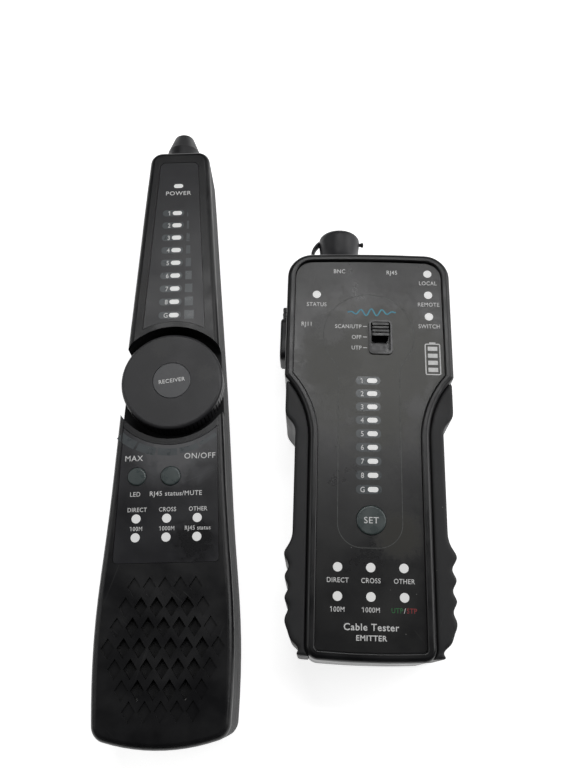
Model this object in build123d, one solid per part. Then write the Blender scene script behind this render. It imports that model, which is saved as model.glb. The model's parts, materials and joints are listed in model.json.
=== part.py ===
from build123d import *

import math
import os

# Network cable tester: an emitter unit and a receiver probe, lying side by side on their backs.
# Lengths are in millimetres. Each unit is modelled in a frame of its own: x across, y towards its
# head, z up from the table. The emitter's origin is near the middle of its case, the receiver's is the
# axis of its dial. save() moves every finished piece into the shared frame.

# Where the two units lie, and how far each is turned about the vertical (degrees)
EMITTER_AT = (30.33, -18.22)
EMITTER_TURN = -1.67
RECEIVER_AT = (-41.97, 3.88)
RECEIVER_TURN = 1.12
UNIT_FRAMES = {
    "emitter": Pos(*EMITTER_AT, 0) * Rot(0, 0, EMITTER_TURN),
    "receiver": Pos(*RECEIVER_AT, 0) * Rot(0, 0, RECEIVER_TURN),
}

# Both cases
WALL = 2.0
PARTING_Z = 16.0
SEAM = 0.3
PANEL = 0.8
GAP = 0.1
BOARD = 1.6
BIG = 200.0

# Emitter case
E_HALF_WIDTH = 31.35
E_BODY_HALF_WIDTH = 21.7
E_HEAD_Y = 75.9
E_TAIL_Y = -76.6
E_END_CROWN = 0.8
E_FLARE_RADIUS = 35.6
E_FLARE_Y = -0.5
E_HEAD_CORNER = 9.8
E_SHOULDER_CORNER = 2.0
E_TAIL_CORNER = 4.5
E_RIM_Z = 32.0
E_RIM_WIDTH = 3.2
E_RIM_ROUND = 1.7
E_FACE_Z = 30.8
E_SEAT_Z = E_FACE_Z - PANEL
E_FLOOR = 2.4
E_BACK_ROUND = 2.2
E_CEILING_Z = E_SEAT_Z - WALL
E_BOARD_Z = 21.0
E_BOARD_TOP = E_BOARD_Z + BOARD

# Emitter side grips
GRIP_Z = (0.0, 30.9)
GRIP_TOP_Y = 22.4
GRIP_TOP_CORNER = 1.2
GRIP_SHOULDER = (30.75, 11.0)
GRIP_FLARE = (29.0, 6.9)
GRIP_WAIST = 26.9
GRIP_WAIST_Y = (-33.5, 2.6)
GRIP_LOBES = 4
GRIP_LOBE_PITCH = 6.9
GRIP_LOBE = (29.5, -42.4)
GRIP_NOTCH = (27.9, -45.9)
GRIP_TAIL = [(27.8, -66.9), (26.3, -70.3), (24.0, -73.2), (21.3, -75.0)]

# Emitter lights, key and switch window
E_BAR = (1.15, 22.5)
E_BAR_PITCH = 5.15
BAR_COUNT = 9
BAR_SIZE = (3.8, 1.9)
ROUND_LIGHT = 3.2
E_SIDE_LIGHTS = [(-19.9, 58.0), (23.0, 67.5), (23.0, 58.3), (23.0, 49.1)]
E_GRID_X = (-11.15, 0.1, 11.35)
E_GRID_Y = (-45.8, -55.5)
SET_KEY_AT = (0.4, -29.6)
SET_KEY_RADIUS = 5.2
KEY_TRAVEL = 0.4
SLIDE_AT = (4.5, 40.2)
SLIDE_LIP = (8.8, 14.0)
SLIDE_WINDOW = (7.4, 12.4)
SLIDE_KNOB = (6.2, 5.4)
SLIDE_THROW = 3.0

# Sockets
BNC_X = -11.0
BNC_Z = 16.0
BNC_RADIUS = 4.8
BNC_LENGTH = 11.6
BNC_WALL_Y = E_HEAD_Y - WALL - 0.4
CAP_RADIUS = 8.45
CAP_LENGTH = 15.9
CAP_ROUND = 2.2
CAP_BASE_Y = E_HEAD_Y + 1.5
STUB_Y = E_HEAD_Y + CAP_LENGTH - 2.9
STUB_LENGTH = 1.7
STUB_RADIUS = 1.0
STRAP = (1.2, 3.6)
E_RJ45_AT = (9.5, E_HEAD_Y - 0.3, 14.2)
RJ45 = dict(width=15.8, height=13.2, depth=17.5, mouth=(11.8, 7.0, 14.0), latch=6.2)
RJ45_PINS = 8
E_RJ11_AT = (-31.1, 46.0, 14.9)
RJ11 = dict(width=13.2, height=12.0, depth=14.0, mouth=(9.8, 6.6, 11.5), latch=3.6)
RJ11_PINS = 4
PIN_PITCH = 1.02

# Rubber cover of the telephone socket
COVER_Y = (34.8, 52.6)
COVER_Z = (8.0, 22.0)
COVER_HINGE = (-32.5, 54.4)
COVER_ROOT_Y = (55.9, 57.0)
COVER_ROOT_Z = (13.0, 17.0)

# Nine-volt battery
BATTERY = (26.5, 48.5, 17.5)
E_BATTERY_Y = -46.5
E_BATTERY_Z = 2.9

# Battery door of the emitter, and the rails that it slides in on
E_DOOR_TOP_Y = -19.3
RAIL_END_Y = -68.0
RAIL = 1.0
RAIL_Z = (1.1, 1.8)

# Screws: head radius, head height, shank radius
SCREW_HEAD = 2.75
SCREW_HEAD_HEIGHT = 1.9
SCREW_SHANK = 1.45
E_SCREWS = [(26.4, 64.0), (-26.4, 64.0), (17.2, -11.5), (-17.2, -11.5)]

# Receiver case
R_HEAD_Y = 102.8
R_TAIL_Y = -124.8
R_TAIL_SIDE_Y = -120.9
R_SIDE = [(11.9, R_HEAD_Y), (13.5, 79.0), (15.2, 50.0), (17.25, 16.0), (19.1, -17.0), (20.5, -44.0),
          (21.6, -60.0), (22.8, -76.0), (23.4, -92.0), (23.1, -107.0), (22.2, R_TAIL_SIDE_Y)]
R_HEAD_CORNER = 5.0
R_TAIL_CORNER = 5.5
R_FACE_Z = 33.0
R_FRONT_ROUND = 2.2
R_BACK_ROUND = 2.5
R_BACK_RISE_Y = 4.0
R_BACK_RISE = 9.0
R_FLOOR = 2.2
R_CEILING_Z = R_FACE_Z - WALL
R_BOARD_Z = 20.6
R_BOARD_TOP = R_BOARD_Z + BOARD

# Receiver dial
DIAL_RADIUS = 18.8
DIAL_Z = (25.9, 33.8)
DIAL_RIM_ROUND = 1.2
DIAL_FLUTES = 72
DIAL_CAP_RADIUS = 7.0
DIAL_CAP_DEPTH = 1.2
RECESS_RADIUS = 22.3
RECESS_FLOOR_Z = 25.4
RECESS_WALL = 1.6
POT_SHAFT = 3.0
POT_BUSHING = 3.6

# Receiver panels, keys and lights
HEAD_PANEL = [(7.8, 97.2), (12.0, 20.0)]
HEAD_PANEL_CORNER = 2.4
PANEL_ARC = 24.4
KEYPAD = [(17.0, -12.0), (18.3, -66.4)]
KEYPAD_CORNER = 1.6
PANEL_GAP = 0.15
R_POWER_LIGHT = (-0.1, 85.7)
R_BAR = (-0.2, 72.8)
R_BAR_PITCH = 5.70
R_GRID_X = (-10.85, -0.2, 10.45)
R_GRID_Y = (-51.05, -57.6)
LAMP_KEY_AT = (-11.3, -36.0)
LAMP_KEY_RADIUS = 3.3
MUTE_KEY_AT = (0.7, -36.0)
MUTE_KEY_RADIUS = 3.5
R_KEYS = [(LAMP_KEY_AT, LAMP_KEY_RADIUS), (MUTE_KEY_AT, MUTE_KEY_RADIUS)]

# Receiver grille and speaker
GRILLE_ROWS = (5, 6, 7, 8, 7, 6, 5)
GRILLE_Y = -93.8
GRILLE_PITCH = (5.2, 6.5)
DIAMOND = (4.5, 6.7)
DIAMOND_DEPTH = 0.7
SPEAKER_RADIUS = 18.0
SPEAKER_Z = (20.8, 30.7)

# Receiver tail socket, tip, lamp, battery and screws
R_RJ45_AT = (0.0, R_TAIL_Y + 0.6, 9.6)
TIP_LENGTH = 14.2
TIP_COLLAR = 6.4
TIP_BASE = 6.8
TIP_END = 3.9
TIP_ROUND = 1.3
TIP_NECK = 4.5
TIP_FLANGE = 6.0
TIP_Z = 22.0
LAMP_Z = 13.2
R_BATTERY_Y = -46.0
R_BATTERY_Z = 2.8
R_DOOR_Y = (-75.2, -16.4)
DOOR_HALF_WIDTH = 15.0
R_SCREWS = [(7.8, 90.0), (-7.8, 90.0), (14.4, -10.0), (-14.4, -10.0), (18.3, -112.0), (-18.3, -112.0)]


# ---------------------------------------------------------------- helpers

def block(x_span, y_span, z_span):
    """Box between two corners, given as its span along each axis."""
    spans = (x_span, y_span, z_span)
    sizes = [high - low for low, high in spans]
    middles = [(high + low) / 2 for low, high in spans]
    return Pos(*middles) * Box(*sizes)


def around(middle, size):
    """Span of the given size about a middle value."""
    return (middle - size / 2, middle + size / 2)


def post(at, radius, z_span):
    """Upright cylinder."""
    low, high = z_span
    return Pos(at[0], at[1], (low + high) / 2) * Cylinder(radius, high - low)


def rod(x, z, radius, y_span):
    """Cylinder lying along y."""
    low, high = y_span
    return Pos(x, (low + high) / 2, z) * Rot(90, 0, 0) * Cylinder(radius, high - low)


def slab(face, z_span):
    """Plan outline raised between two heights."""
    low, high = z_span
    return Pos(0, 0, low) * extrude(face, amount=high - low, dir=(0, 0, 1))


def side_slab(points, x_span):
    """Outline given in (y, z), raised between two values of x."""
    low, high = x_span
    outline = make_face(Polyline(*[(0, y, z) for y, z in points], close=True))
    return Pos(low, 0, 0) * extrude(outline, amount=high - low, dir=(1, 0, 0))


def slot_plan(at, size):
    """Round-ended slot in plan."""
    return Pos(*at) * SlotOverall(*size)


def round_corners(face, y, radius):
    """Round the plan corners that lie at one value of y."""
    corners = [corner for corner in face.vertices() if abs(corner.Y - y) < 0.01]
    return fillet(corners, radius=radius)


def together(pieces):
    """Separate solids of one node."""
    return Compound([solid for piece in pieces for solid in piece.solids()])


def save(name, piece):
    """Write one sub-part, moved from its unit's own frame into the shared frame."""
    unit = name.split("_")[0]
    export_step(UNIT_FRAMES[unit] * piece, os.path.join("parts", name + ".step"))


# ---------------------------------------------------------------- pieces that both units use

def light(at, board_top, tip_z):
    """Light-emitting diode: a flanged cylinder with a domed tip."""
    radius = 1.45
    body = post(at, radius, (board_top, tip_z))
    body = fillet(body.edges().group_by(Axis.Z)[-1], radius=1.2)
    return body + post(at, radius + 0.3, (board_top, board_top + 1.0))


def screw(at, head_z, tip_z):
    """Pan-head screw with a cross recess, head downwards."""
    head_top = head_z + SCREW_HEAD_HEIGHT
    head = post(at, SCREW_HEAD, (head_z, head_top))
    head = fillet(head.edges().group_by(Axis.Z)[0], radius=0.8)
    cross = block(around(at[0], 3.0), around(at[1], 0.7), (head_z - 1, head_z + 1.0))
    cross += block(around(at[0], 0.7), around(at[1], 3.0), (head_z - 1, head_z + 1.0))
    return head - cross + post(at, SCREW_SHANK, (head_top, tip_z))


def rear_boss(at, floor_z):
    """Pillar that a case screw passes through."""
    foot = post(at, 4.0, (floor_z, floor_z + 5.0))
    return foot + post(at, 3.1, (floor_z, PARTING_Z))


def rear_boss_bore(at, floor_z):
    """Counterbore for the screw's head and clearance for its shank."""
    seat = floor_z + 1.0 + SCREW_HEAD_HEIGHT
    return post(at, SCREW_HEAD + 0.15, (-1, seat)) + post(at, SCREW_SHANK + 0.15, (-1, PARTING_Z + 1))


def front_boss(at, top_z):
    """Pillar that a case screw bites into."""
    return post(at, 3.1, (PARTING_Z, top_z)) - post(at, SCREW_SHANK + 0.05, (0, top_z - 1.5))


def battery(y, z):
    """Nine-volt battery with its two snap terminals towards the head."""
    width, length, height = BATTERY
    can = block(around(0, width), around(y, length), (z, z + height))
    can = fillet(can.edges().filter_by(Axis.Y), radius=2.0)
    end = y + length / 2
    terminals = [rod(x, z + height / 2, 2.8, (end, end + 2.2)) for x in (-6.35, 6.35)]
    return can + terminals


def battery_snap(y, z):
    """Moulded connector that presses onto the battery's two terminals."""
    end = y + BATTERY[1] / 2 + 0.1
    middle = z + BATTERY[2] / 2
    plate = block((-12.8, 12.8), (end, end + 3.6), around(middle, 12.0))
    plate = fillet(plate.edges().filter_by(Axis.Y), radius=3.0)
    return plate - [rod(x, middle, 2.9, (end - 1, end + 2.4)) for x in (-6.35, 6.35)]


def modular_jack(width, height, depth, mouth, latch):
    """Jack housing whose mouth lies on y = 0, facing +y and centred on x = z = 0."""
    mouth_width, mouth_height, mouth_depth = mouth
    low = -mouth_height / 2
    shell = block(around(0, width), (-depth, 0), around(0, height))
    shell -= block(around(0, mouth_width), (-mouth_depth, 1), around(0, mouth_height))
    shell -= block(around(0, latch), (-mouth_depth, 1), (low - 1.2, low))
    return shell - block(around(0, latch / 2), (-mouth_depth, 1), (low - 2.0, low))


def jack_contacts(count, mouth):
    """Row of slanted spring contacts below the roof of a jack's mouth."""
    roof = mouth[1] / 2
    back = -mouth[2] + 0.5
    strip = [(-1.6, roof), (-2.0, roof), (back, roof - 1.9), (back, roof - 2.2)]
    places = [PIN_PITCH * (index - (count - 1) / 2) for index in range(count)]
    return together([side_slab(strip, around(x, 0.45)) for x in places])


def packages(sizes, board_top):
    """Chips and other plain packages, each given as its place and its size."""
    return together([block(around(x, width), around(y, length), (board_top, board_top + height))
                     for (x, y), (width, length, height) in sizes])


def switch_body(at, board_top):
    """Tactile switch housing with a bore for its plunger."""
    body = block(around(at[0], 6.0), around(at[1], 6.0), (board_top, board_top + 3.5))
    return body - post(at, 1.8, (board_top + 1.9, board_top + 4.0))


def switch_plunger(at, board_top, top_z):
    """Plunger that a key presses into its switch."""
    return post(at, 1.75, (board_top + 1.9 + KEY_TRAVEL + 0.2, top_z))


def push_key(at, radius, ceiling_z, top_z):
    """Domed key with a flange that stops it under the case's front wall."""
    cap = post(at, radius, (ceiling_z - 1.1, top_z))
    cap = fillet(cap.edges().group_by(Axis.Z)[-1], radius=0.6)
    return cap + post(at, radius + 0.9, (ceiling_z - 1.1, ceiling_z - 0.05))


# ---------------------------------------------------------------- emitter

def emitter_case():
    """Plan of the hard case: a wide head that flares in to a narrow body."""
    head_y = E_HEAD_Y - E_END_CROWN
    tail_y = E_TAIL_Y + E_END_CROWN
    flare_x = E_BODY_HALF_WIDTH + E_FLARE_RADIUS
    flare_rise = math.sqrt(E_FLARE_RADIUS ** 2 - (flare_x - E_HALF_WIDTH) ** 2)
    shoulder_y = E_FLARE_Y + flare_rise
    half_turn = math.atan2(flare_rise, flare_x - E_HALF_WIDTH) / 2
    middle = (flare_x - E_FLARE_RADIUS * math.cos(half_turn),
              E_FLARE_Y + E_FLARE_RADIUS * math.sin(half_turn))
    side = Line((E_HALF_WIDTH, head_y), (E_HALF_WIDTH, shoulder_y))
    side += ThreePointArc((E_HALF_WIDTH, shoulder_y), middle, (E_BODY_HALF_WIDTH, E_FLARE_Y))
    side += Line((E_BODY_HALF_WIDTH, E_FLARE_Y), (E_BODY_HALF_WIDTH, tail_y))
    head = ThreePointArc((-E_HALF_WIDTH, head_y), (0, E_HEAD_Y), (E_HALF_WIDTH, head_y))
    tail = ThreePointArc((-E_BODY_HALF_WIDTH, tail_y), (0, E_TAIL_Y), (E_BODY_HALF_WIDTH, tail_y))
    plan = make_face(head + side + tail + mirror(side, about=Plane.YZ))
    plan = round_corners(plan, head_y, E_HEAD_CORNER)
    plan = round_corners(plan, shoulder_y, E_SHOULDER_CORNER)
    return round_corners(plan, tail_y, E_TAIL_CORNER)


def emitter_bars():
    """Places of the nine wire lights."""
    return [(E_BAR[0], E_BAR[1] - E_BAR_PITCH * row) for row in range(BAR_COUNT)]


def emitter_rounds():
    """Places of the ten round lights."""
    return E_SIDE_LIGHTS + [(x, y) for y in E_GRID_Y for x in E_GRID_X]


def emitter_side_cuts():
    """Openings in the case walls for the three sockets and the cover's root."""
    rj45_x, rj45_y, rj45_z = E_RJ45_AT
    rj11_x, rj11_y, rj11_z = E_RJ11_AT
    through = 6.0
    cuts = block(around(rj45_x, RJ45["width"] + 2 * GAP), around(rj45_y, through),
                 around(rj45_z, RJ45["height"] + 2 * GAP))
    cuts += block(around(rj11_x, through), around(rj11_y, RJ11["width"] + 2 * GAP),
                  around(rj11_z, RJ11["height"] + 2 * GAP))
    cuts += rod(BNC_X, BNC_Z, BNC_RADIUS + 0.05, around(E_HEAD_Y, 8.0))
    return cuts + block(around(rj11_x, through), COVER_ROOT_Y, COVER_ROOT_Z)


def emitter_front_shell():
    """Front half of the case, with the rounded rim that frames the face panel."""
    case = emitter_case()
    shell = slab(case, (PARTING_Z, E_RIM_Z))
    shell = fillet(shell.edges().group_by(Axis.Z)[-1], radius=E_RIM_ROUND)
    shell = chamfer(shell.edges().group_by(Axis.Z)[0], length=SEAM)
    shell -= slab(offset(case, amount=-E_RIM_WIDTH), (E_SEAT_Z, E_RIM_Z + 1))
    shell = fillet(shell.edges().group_by(Axis.Z)[-1], radius=0.7)
    shell -= slab(offset(case, amount=-WALL), (0, E_CEILING_Z))
    shell += slab(Pos(*SLIDE_AT) * RectangleRounded(*SLIDE_LIP, 1.6), (E_SEAT_Z, E_FACE_Z + 0.6))
    shell += [front_boss(at, E_CEILING_Z) for at in E_SCREWS]
    through = (E_CEILING_Z - 1, E_RIM_Z + 1)
    shell -= slab(Pos(*SLIDE_AT) * RectangleRounded(*SLIDE_WINDOW, 1.0), through)
    shell -= post(SET_KEY_AT, SET_KEY_RADIUS + GAP, through)
    shell -= [post(at, 1.6, through) for at in emitter_bars() + emitter_rounds()]
    return shell - emitter_side_cuts()


def emitter_back():
    """Back half of the case before it is hollowed."""
    back = slab(emitter_case(), (0, PARTING_Z))
    back = fillet(back.edges().group_by(Axis.Z)[0], radius=E_BACK_ROUND)
    return chamfer(back.edges().group_by(Axis.Z)[-1], length=SEAM)


def emitter_rear_shell():
    """Back half of the case, open at the tail where the battery door slides in."""
    shell = emitter_back()
    shell -= slab(offset(emitter_case(), amount=-WALL), (E_FLOOR, PARTING_Z + 1))
    width, length, height = BATTERY
    for side in (-1, 1):
        rib_x = side * (width / 2 + 1.3)
        shell += block(around(rib_x, 1.4), around(E_BATTERY_Y, length), (E_FLOOR, PARTING_Z))
    shell += [rear_boss(at, 0.5) for at in E_SCREWS]
    shell -= [rear_boss_bore(at, 0.0) for at in E_SCREWS]
    opening = DOOR_HALF_WIDTH + 0.2
    shell -= block((-opening, opening), (-BIG, E_DOOR_TOP_Y + 0.3), (-1, E_FLOOR + 0.05))
    groove = opening + RAIL
    groove_top = E_DOOR_TOP_Y - 1.5
    shell -= block((-groove, groove), (-BIG, groove_top), (RAIL_Z[0] - 0.15, RAIL_Z[1] + 0.15))
    return shell - emitter_side_cuts()


def emitter_battery_door():
    """Battery door: a plate with side rails, running out past the tail."""
    window = block(around(0, 2 * DOOR_HALF_WIDTH), (-BIG, E_DOOR_TOP_Y), (0.2, E_FLOOR - GAP))
    plate = emitter_back() & window
    rail_x = DOOR_HALF_WIDTH + RAIL
    plate += block((-rail_x, rail_x), (RAIL_END_Y, E_DOOR_TOP_Y - 2.0), RAIL_Z)
    ribs = [block(around(0, 14.0), around(-60.0 + 1.6 * row, 0.7), (0, 0.6)) for row in range(6)]
    return plate - ribs


def grip_plan():
    """Plan of both grips and all between them, straight down each side and scalloped at the tail."""
    lobes = []
    for lobe in range(GRIP_LOBES):
        drop = GRIP_LOBE_PITCH * lobe
        lobes.append((GRIP_LOBE[0] - 0.2 * lobe, GRIP_LOBE[1] - drop))
        if lobe < GRIP_LOBES - 1:
            lobes.append((GRIP_NOTCH[0] - 0.1 * lobe, GRIP_NOTCH[1] - drop))
    down = (0, -1)
    shoulder_x = GRIP_SHOULDER[0]
    waist_low = (GRIP_WAIST, GRIP_WAIST_Y[0])
    waist_high = (GRIP_WAIST, GRIP_WAIST_Y[1])
    side = Line((0, GRIP_TOP_Y), (shoulder_x, GRIP_TOP_Y))
    side += Line((shoulder_x, GRIP_TOP_Y), GRIP_SHOULDER)
    side += Spline(GRIP_SHOULDER, GRIP_FLARE, waist_high, tangents=[down, down])
    side += Line(waist_high, waist_low)
    side += Spline(waist_low, *lobes, *GRIP_TAIL, tangents=[down, (-1, 0)])
    side += Line(GRIP_TAIL[-1], (0, GRIP_TAIL[-1][1]))
    plan = make_face(side + mirror(side, about=Plane.YZ))
    return round_corners(plan, GRIP_TOP_Y, GRIP_TOP_CORNER)


def emitter_grips():
    """Left and right rubber grips, fitted against the case."""
    pair = slab(grip_plan(), GRIP_Z) - slab(emitter_case(), (-1, E_RIM_Z))
    large = [solid for solid in pair.solids() if solid.volume > 1000]
    return large[0:2] if large[0].center().X < 0 else large[1::-1]


def emitter_face_panel():
    """Printed overlay that lies in the rim, pierced for the lights, the key and the switch."""
    panel = slab(offset(emitter_case(), amount=-(E_RIM_WIDTH + GAP)), (E_SEAT_Z, E_FACE_Z))
    through = (0, BIG)
    lip = (SLIDE_LIP[0] + GAP, SLIDE_LIP[1] + GAP)
    panel -= slab(Pos(*SLIDE_AT) * RectangleRounded(*lip, 1.6), through)
    panel -= post(SET_KEY_AT, SET_KEY_RADIUS + GAP, through)
    panel -= [slab(slot_plan(at, BAR_SIZE), through) for at in emitter_bars()]
    return panel - [post(at, ROUND_LIGHT / 2, through) for at in emitter_rounds()]


def light_windows(bars, rounds, seat_z, face_z):
    """Milky windows that fill the openings of a panel."""
    inset = 0.04
    bar = (BAR_SIZE[0] - inset, BAR_SIZE[1] - inset)
    windows = [slab(slot_plan(at, bar), (seat_z, face_z)) for at in bars]
    windows += [post(at, (ROUND_LIGHT - inset) / 2, (seat_z, face_z)) for at in rounds]
    return together(windows)


def emitter_circuit_board():
    """Board that carries the lights, switches and sockets."""
    board = slab(offset(emitter_case(), amount=-3.0), (E_BOARD_Z, E_BOARD_TOP))
    board -= block(around(BNC_X, 17.0), (60.0, BIG), (0, BIG))
    return board - [post(at, 3.4, (0, BIG)) for at in E_SCREWS]


def emitter_board_parts():
    """Chips and other packages soldered to the board."""
    sizes = [((-9.0, 30.0), (7.5, 10.0, 1.8)), ((-12.0, 8.0), (6.0, 6.0, 1.2)),
             ((13.0, 8.0), (5.0, 4.0, 1.5)), ((12.5, -20.0), (6.0, 9.0, 1.8)),
             ((-12.5, -24.0), (4.0, 4.0, 3.0)), ((14.0, 62.0), (6.0, 5.0, 1.5))]
    return packages(sizes, E_BOARD_TOP)


def emitter_slide_knob():
    """Ribbed slider with a cover plate under the window and a peg into its switch, at its upper stop."""
    x, y = SLIDE_AT[0], SLIDE_AT[1] + SLIDE_THROW
    top = E_FACE_Z + 1.0
    knob = block(around(x, SLIDE_KNOB[0]), around(y, SLIDE_KNOB[1]), (E_CEILING_Z - 0.1, top))
    knob -= [block(around(x, BIG), around(y + 1.4 * row, 0.6), (top - 0.6, BIG)) for row in (-1, 0, 1)]
    knob += block(around(x, 9.4), around(y, 18.8), (E_CEILING_Z - 1.1, E_CEILING_Z - 0.1))
    return knob + block(around(x, 2.0), around(y, 2.0), (E_BOARD_TOP + 1.2, E_CEILING_Z - 1.0))


def emitter_slide_switch():
    """Three-way slide switch body with the slot that its peg runs in."""
    x, y = SLIDE_AT
    body = block(around(x, 7.0), around(y, 16.0), (E_BOARD_TOP, E_CEILING_Z - 1.3))
    return body - block(around(x, 2.2), around(y, 2.2 + 2 * SLIDE_THROW), (E_BOARD_TOP + 1.0, BIG))


def emitter_bnc_jack():
    """Metal body of the coaxial jack: flange, barrel and two bayonet lugs."""
    tip = E_HEAD_Y + BNC_LENGTH
    jack = rod(BNC_X, BNC_Z, BNC_RADIUS, (BNC_WALL_Y - 11.0, tip))
    jack += rod(BNC_X, BNC_Z, 6.9, (BNC_WALL_Y - 2.2, BNC_WALL_Y))
    jack += Pos(BNC_X, tip - 2.6, BNC_Z) * Cylinder(0.95, 2 * (BNC_RADIUS + 0.7))
    return jack - rod(BNC_X, BNC_Z, BNC_RADIUS - 0.7, (BNC_WALL_Y - 9.0, tip + 1))


def emitter_bnc_insulator():
    """Plastic sleeve that holds the centre contact."""
    sleeve = rod(BNC_X, BNC_Z, BNC_RADIUS - 0.7, (BNC_WALL_Y - 9.0, E_HEAD_Y + 2.0))
    sleeve += rod(BNC_X, BNC_Z, 2.3, (BNC_WALL_Y, E_HEAD_Y + 8.0))
    return sleeve - rod(BNC_X, BNC_Z, 0.8, (0, BIG))


def emitter_bnc_contact():
    """Centre contact tube with its solder tail."""
    contact = rod(BNC_X, BNC_Z, 0.8, (E_HEAD_Y - 11.1, E_HEAD_Y + 7.0))
    return contact - rod(BNC_X, BNC_Z, 0.45, (E_HEAD_Y + 1.0, BIG))


def emitter_bnc_nut():
    """Hexagonal nut that clamps the jack and the strap's ring to the case."""
    nut = extrude(RegularPolygon(6.8, 6), amount=2.0)
    nut = Pos(BNC_X, E_HEAD_Y + 1.4, BNC_Z) * Rot(-90, 0, 0) * nut
    return nut - rod(BNC_X, BNC_Z, BNC_RADIUS, (0, BIG))


def emitter_bnc_cap():
    """Rubber dust cap with a small pull stub at its side."""
    cap = rod(BNC_X, BNC_Z, CAP_RADIUS, (CAP_BASE_Y, E_HEAD_Y + CAP_LENGTH))
    cap = fillet(cap.edges().group_by(Axis.Y)[-1], radius=CAP_ROUND)
    stub = Rot(0, 90, 0) * Cylinder(STUB_RADIUS, STUB_LENGTH + 1.0)
    stub = fillet(stub.edges().group_by(Axis.X)[-1], radius=0.4)
    cap += Pos(BNC_X + CAP_RADIUS + (STUB_LENGTH - 1.0) / 2, STUB_Y, BNC_Z) * stub
    cap -= rod(BNC_X, BNC_Z, 7.0, (0, E_HEAD_Y + 3.6))
    return cap - rod(BNC_X, BNC_Z, BNC_RADIUS + 0.8, (0, E_HEAD_Y + BNC_LENGTH + 1.4))


def emitter_bnc_strap():
    """Tether: a ring clamped behind the nut and a strap that arches to the cap's side."""
    thickness, width = STRAP
    ring_y = (E_HEAD_Y + GAP, CAP_BASE_Y - 0.2)
    ring = rod(BNC_X, BNC_Z, CAP_RADIUS - 0.3, ring_y) - rod(BNC_X, BNC_Z, BNC_RADIUS, (0, BIG))
    cap_side = BNC_X - CAP_RADIUS
    foot = (cap_side + 0.6, E_HEAD_Y + 0.75)
    bulge = (cap_side - 2.5, E_HEAD_Y + 7.0)
    head = (cap_side - 0.1, STUB_Y + 0.4)
    strap = slab(trace(ThreePointArc(foot, bulge, head), line_width=thickness), around(BNC_Z, width))
    return ring + (strap - block((cap_side - GAP, BIG), (ring_y[1], BIG), (0, BIG)))


def emitter_rj11_anchor():
    """Root of the rubber cover, held in the case wall."""
    low_y, high_y = COVER_ROOT_Y
    low_z, high_z = COVER_ROOT_Z
    root = block((-33.2, -E_HALF_WIDTH - 0.05), (low_y - 0.4, high_y + 0.4), (COVER_Z[0] + 2, COVER_Z[1] - 2))
    root = fillet(root.edges().filter_by(Axis.Z).group_by(Axis.X)[0], radius=0.6)
    return root + block((-32.0, -28.6), (low_y + GAP, high_y - GAP), (low_z + GAP, high_z - GAP))


def emitter_rj11_cover():
    """Rubber flap over the telephone socket, with its plug and hinge knuckle."""
    flap = block((-33.9, -E_HALF_WIDTH - GAP), COVER_Y, COVER_Z)
    flap = fillet(flap.edges().filter_by(Axis.X), radius=3.0)
    flap = fillet(flap.edges().group_by(Axis.X)[0], radius=1.0)
    hinge_x, hinge_y = COVER_HINGE
    hinge_z = (COVER_Z[0] + 2, COVER_Z[1] - 2)
    flap += block(around(hinge_x, 0.9), (COVER_Y[1] - 1.1, hinge_y), hinge_z)
    flap += post(COVER_HINGE, 0.8, hinge_z)
    mouth_y = E_RJ11_AT[1]
    return flap + block((-33.0, -29.6), (mouth_y - 3.8, mouth_y + 4.0), around(E_RJ11_AT[2], 5.6))


# ---------------------------------------------------------------- receiver

def receiver_plan(inset=0.0):
    """Plan of the probe: narrow at the head, broad at the tail, drawn in by an inset."""
    points = [(x - inset, y) for x, y in R_SIDE]
    head_y = R_HEAD_Y - inset
    tail_side_y = R_TAIL_SIDE_Y + inset
    points[0] = (points[0][0], head_y)
    points[-1] = (points[-1][0], tail_side_y)
    side = Spline(*points)
    head = Line((-points[0][0], head_y), (points[0][0], head_y))
    tail = ThreePointArc((-points[-1][0], tail_side_y), (0, R_TAIL_Y + inset), (points[-1][0], tail_side_y))
    plan = make_face(head + side + tail + mirror(side, about=Plane.YZ))
    plan = round_corners(plan, head_y, R_HEAD_CORNER - inset)
    return round_corners(plan, tail_side_y, R_TAIL_CORNER - inset)


def receiver_back_z(y):
    """Height of the back surface, which rises towards the head."""
    return max(0.0, R_BACK_RISE * (y - R_BACK_RISE_Y) / (R_HEAD_Y - R_BACK_RISE_Y))


def receiver_envelope(inset, floor, top_z):
    """Body bounded by the plan, the back surface raised by a floor thickness, and a top."""
    steep = receiver_back_z(R_HEAD_Y + 10.0)
    profile = [(-BIG, floor), (R_BACK_RISE_Y, floor), (R_HEAD_Y + 10.0, steep + floor),
               (R_HEAD_Y + 10.0, top_z), (-BIG, top_z)]
    return slab(receiver_plan(inset), (0, top_z)) & side_slab(profile, (-BIG, BIG))


def receiver_body():
    """Whole outer body with its front and back edges rounded."""
    body = receiver_envelope(0.0, 0.0, R_FACE_Z)
    body = fillet(body.edges().group_by(Axis.Z)[-1], radius=R_FRONT_ROUND)
    back_edges = [edge for edge in body.edges()
                  if edge.bounding_box().max.Z < R_BACK_RISE + 0.5
                  and abs(edge.center().Y - R_BACK_RISE_Y) > 1.0]
    return fillet(back_edges, radius=R_BACK_ROUND)


def panel_plan(corners, outer_y, radius):
    """Plan of an overlay with two rounded outer corners, and an inner end that follows the dial."""
    (x0, y0), (x1, y1) = corners
    plan = make_face(Polyline((-x0, y0), (x0, y0), (x1, y1), (-x1, y1), close=True))
    return round_corners(plan, outer_y, radius) - Circle(PANEL_ARC)


def head_panel_plan():
    """Plan of the head overlay's seat."""
    return panel_plan(HEAD_PANEL, HEAD_PANEL[0][1], HEAD_PANEL_CORNER)


def keypad_plan():
    """Plan of the keypad overlay's seat."""
    return panel_plan(KEYPAD, KEYPAD[1][1], KEYPAD_CORNER)


def receiver_bars():
    """Places of the nine wire lights."""
    return [(R_BAR[0], R_BAR[1] - R_BAR_PITCH * row) for row in range(BAR_COUNT)]


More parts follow.
